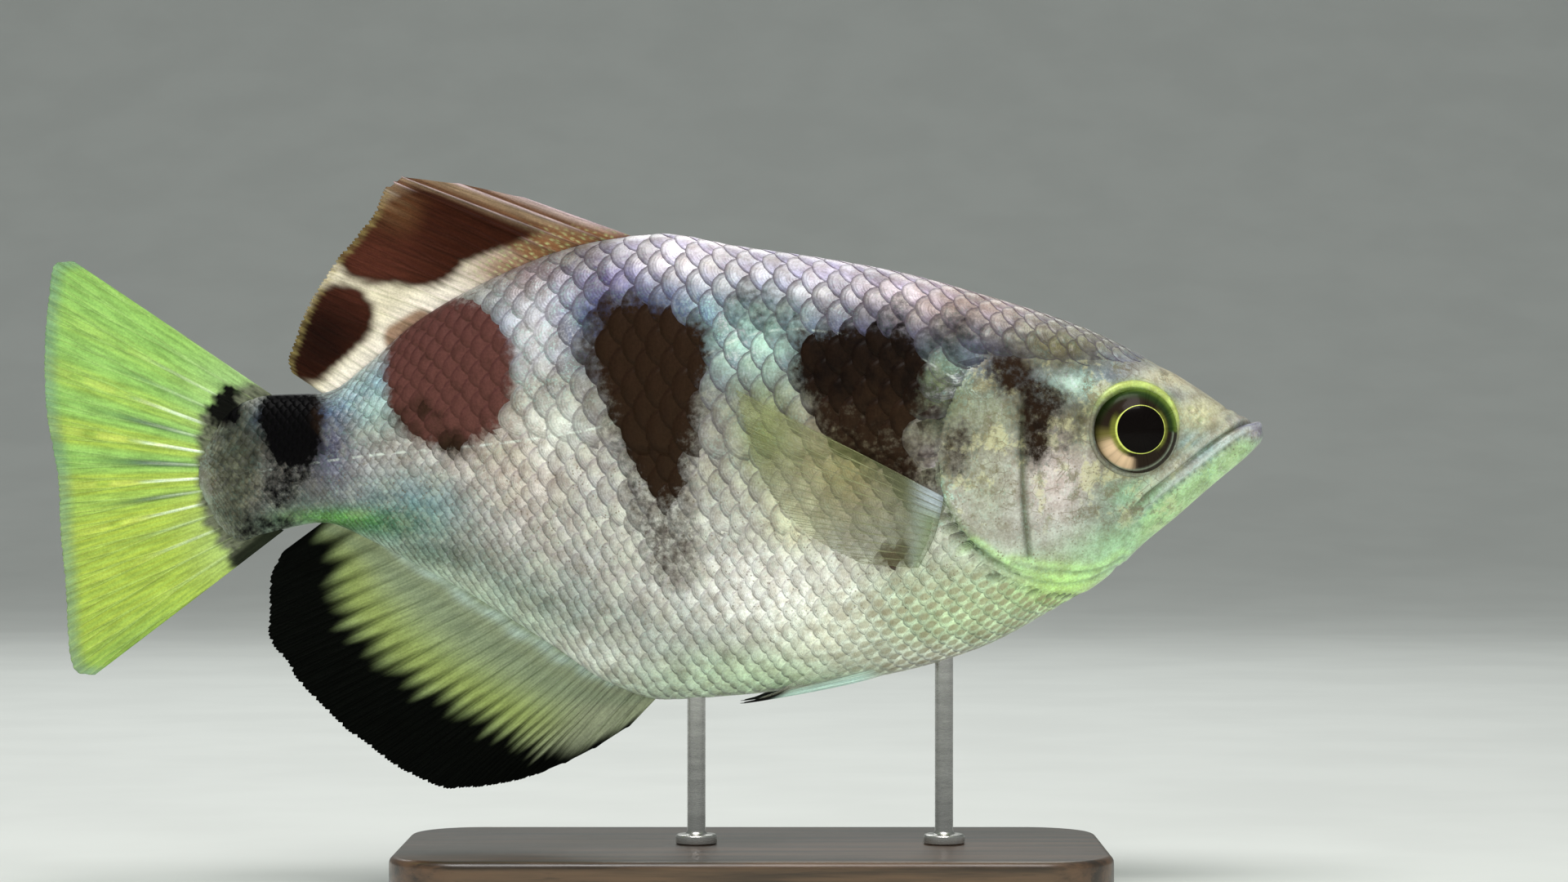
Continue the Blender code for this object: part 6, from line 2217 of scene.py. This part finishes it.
@dataclass
class Stand:
    """A flat wooden base with a rounded edge, and two turned rods with collars that reach the belly."""

    corner: float = 12
    bevel: float = 1.2
    corner_steps: int = 20
    rod_radius: float = 1.5
    collar_radius: float = 3.4
    collar_height: float = 1.6
    rod_sides: int = 48
    base_sharp: float = 50
    rod_sharp: float = 40
    sunk: float = 1.2

    def build(self, wood: WoodFinish, steel: SteelFinish) -> list[bpy.types.Object]:
        """Makes the base and both rods from the boxes of their solids.

        Args:
            wood: The base's finish.
            steel: The rods' finish.

        Returns:
            The new objects.
        """
        made = [self._base().make(wood.material(), "base", ["stand_base"])]
        material = steel.material()
        for end in ("rear", "front"):
            made.append(self._rod(end).make(material, "rod", ["stand_rod_" + end]))
        return made

    @staticmethod
    def _stacked(name: str, centre: tuple[float, float], x: Array, y: Array, level: Array) -> Piece:
        """A closed piece of rings about an upright axis.

        Args:
            name: The piece's name.
            centre: The axis's x and y.
            x: The rings' points from the axis, one ring to a row.
            y: The same along y.
            level: Each ring's height over the floor.

        Returns:
            The piece.
        """
        level = level - AXIS_HEIGHT
        points = np.stack([centre[0] + x, centre[1] + y, np.broadcast_to(level[:, None], x.shape)], axis=-1)
        tips = [(*centre, level[0]), (*centre, level[-1])]
        return Piece(name, np.vstack([points.reshape(-1, 3), tips]), ring_faces(*x.shape))

    def _base(self) -> Piece:
        """Rounded rectangles stacked on the edge's profile: a quarter circle above and a small one below.

        Returns:
            The base's piece.
        """
        low, high = (np.array(corner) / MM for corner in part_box("stand_base"))
        size = high - low
        turn = np.linspace(0, math.pi / 2, 10)
        inset = np.concatenate([[6, 1.5, 0.4, 0.12, 0], self.bevel * (1 - np.cos(turn)), [3, 9]])
        level = np.concatenate([[0, 0, 0, 0.12, 0.4], size[2] - self.bevel + self.bevel * np.sin(turn),
                                [size[2]] * 2])
        quarter = np.linspace(0, math.pi / 2, self.corner_steps)
        sweep = np.concatenate([quarter + k * math.pi / 2 for k in range(4)])
        sign = np.array([(1, 1), (-1, 1), (-1, -1), (1, -1)]).repeat(self.corner_steps, axis=0)
        inset = inset[:, None]
        radius = np.maximum(self.corner - inset, 0.5)
        x = sign[:, 0] * (size[0] / 2 - inset - radius) + radius * np.cos(sweep)
        y = sign[:, 1] * (size[1] / 2 - inset - radius) + radius * np.sin(sweep)
        piece = self._stacked("stand_base_wood", tuple((low + high)[:2] / 2), x, y, level)
        return replace(piece, sharp_angle=self.base_sharp)

    def _rod(self, end: str) -> Piece:
        """A rod turned about its own axis: its profile of radius and height, carried round.

        Args:
            end: Which rod, rear or front.

        Returns:
            The rod's piece.
        """
        low, high = (np.array(corner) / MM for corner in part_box("stand_rod_" + end))
        round_off = np.linspace(0, math.pi / 2, 7)
        foot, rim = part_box("stand_base")[1].z / MM + 0.05, 0.5
        shoulder = foot + self.collar_height
        rod, collar = self.rod_radius, self.collar_radius
        radius = np.concatenate([[rod, rod, collar - 0.15, collar], collar - rim + rim * np.cos(round_off),
                                 [rod + 0.35, rod + 0.1, rod, rod]])
        level = np.concatenate([[low[2], foot, foot, foot + 0.15], shoulder - rim + rim * np.sin(round_off),
                                [shoulder + 0.05, shoulder + 0.3, shoulder + 0.6, high[2] + self.sunk]])
        turn = full_turn(self.rod_sides)
        x, y = radius[:, None] * np.cos(turn), radius[:, None] * np.sin(turn)
        piece = self._stacked(f"stand_rod_{end}_steel", ((low[0] + high[0]) / 2, 0), x, y, level)
        return replace(piece, sharp_angle=self.rod_sharp)


@dataclass
class Lamp:
    """A soft rectangular lamp, aimed at the fish."""

    name: str
    place: tuple[float, float, float]
    size: tuple[float, float]
    power: float
    colour: Colour = (1, 1, 1)
    mirrored: bool = True
    spread: float = math.pi

    def build(self, aim: tuple[float, float, float]) -> bpy.types.Object:
        """Puts the lamp in the scene.

        Args:
            aim: The point that it faces, in metres.

        Returns:
            The lamp's object.
        """
        data = bpy.data.lights.new(self.name, "AREA")
        data.shape = "RECTANGLE"
        data.size, data.size_y = self.size
        data.energy = self.power
        data.color = self.colour
        data.spread = self.spread
        lamp = put_in_scene(self.name, data)
        lamp.location = self.place
        lamp.visible_glossy = self.mirrored
        away = np.array(self.place) - np.array(aim)
        flat = math.hypot(away[0], away[1])
        lamp.rotation_euler = (math.atan2(flat, away[2]), 0, math.atan2(away[0], -away[1]))
        return lamp


@dataclass
class Studio:
    """A pale floor that curves up behind, soft lamps, and the camera level with the fish's axis."""

    camera_x: float = 0.0212
    camera_away: float = 0.6445
    lens: float = 90
    aim: tuple[float, float, float] = (0, 0, 0.075)
    air_colour: Colour = (0.9, 0.95, 0.92)
    air_strength: float = 0.28
    floor_bend: float = 1.6
    floor_start: float = 0.9
    lamps: tuple[Lamp, ...] = (
        Lamp("key_lamp", (-0.04, -0.34, 0.86), (0.6, 0.36), 6, (1, 0.985, 0.965)),
        Lamp("tail_lamp", (-0.72, -0.74, 0.26), (0.5, 0.3), 1.15, (0.98, 0.99, 1), False, 2),
        Lamp("nose_lamp", (0.8, -0.72, 0.26), (0.5, 0.3), 1.15, (0.99, 1, 0.98), False, 2),
        Lamp("back_lamp", (-0.1, 0.66, 0.6), (0.7, 0.4), 2.4, (0.97, 1, 0.98)),
        Lamp("foot_lamp", (0.03, -0.22, 0.03), (0.32, 0.05), 0.15, (0.82, 1, 0.62), False, 2),
    )

    def build(self) -> None:
        """Makes the floor, the lamps, the world and the camera."""
        self._floor()
        for lamp in self.lamps:
            lamp.build(self.aim)
        world = bpy.data.worlds.new("studio_air")
        world.use_nodes = True
        background = world.node_tree.nodes["Background"]
        background.inputs["Color"].default_value = (*self.air_colour, 1)
        background.inputs["Strength"].default_value = self.air_strength
        bpy.context.scene.world = world
        bpy.context.scene.view_settings.view_transform = "Standard"
        data = bpy.data.cameras.new("camera")
        data.lens = self.lens
        data.sensor_width = 36
        data.clip_start = 0.01
        camera = put_in_scene("camera", data)
        camera.location = (self.camera_x, -self.camera_away, AXIS_HEIGHT * MM)
        camera.rotation_euler = (math.pi / 2, 0, 0)
        bpy.context.scene.camera = camera

    def _floor(self) -> bpy.types.Object:
        """The floor: flat, then a quarter circle, then upright, swept along x.

        Returns:
            The floor's object.
        """
        turn = np.linspace(0, math.pi / 2, 24)
        bend, start = self.floor_bend, self.floor_start
        y = np.concatenate([[-4, start], start + bend * np.sin(turn), [start + bend]])
        z = np.concatenate([[0, 0], bend * (1 - np.cos(turn)), [3]])
        points = np.stack([np.repeat([-4, 4], len(y)), np.tile(y, 2), np.tile(z, 2)], axis=1)
        mesh = bpy.data.meshes.new("studio_floor")
        mesh.from_pydata(points.tolist(), [], grid_faces(2, len(y))[0].tolist())
        mesh.shade_smooth()
        mesh.materials.append(FloorFinish().material())
        return put_in_scene("studio_floor", mesh)


def main() -> None:
    """Builds the fish, its stand and the studio, in order."""
    logging.basicConfig(level=logging.INFO, format="%(name)s: %(message)s")
    surface = BodySurface()
    markings = Markings(surface.form, surface.relief)
    Skin(surface, markings).build(HideFinish())
    ScaleCoat(surface, markings).build(ScaleFinish())
    Eyes(surface.form).build(EyeFinish(), HideFinish(name="eye_rim", pore_depth=0.02), markings)
    build_fins(surface.form)
    Stand().build(WoodFinish(), SteelFinish())
    Studio().build()


if __name__ == "__main__":
    main()
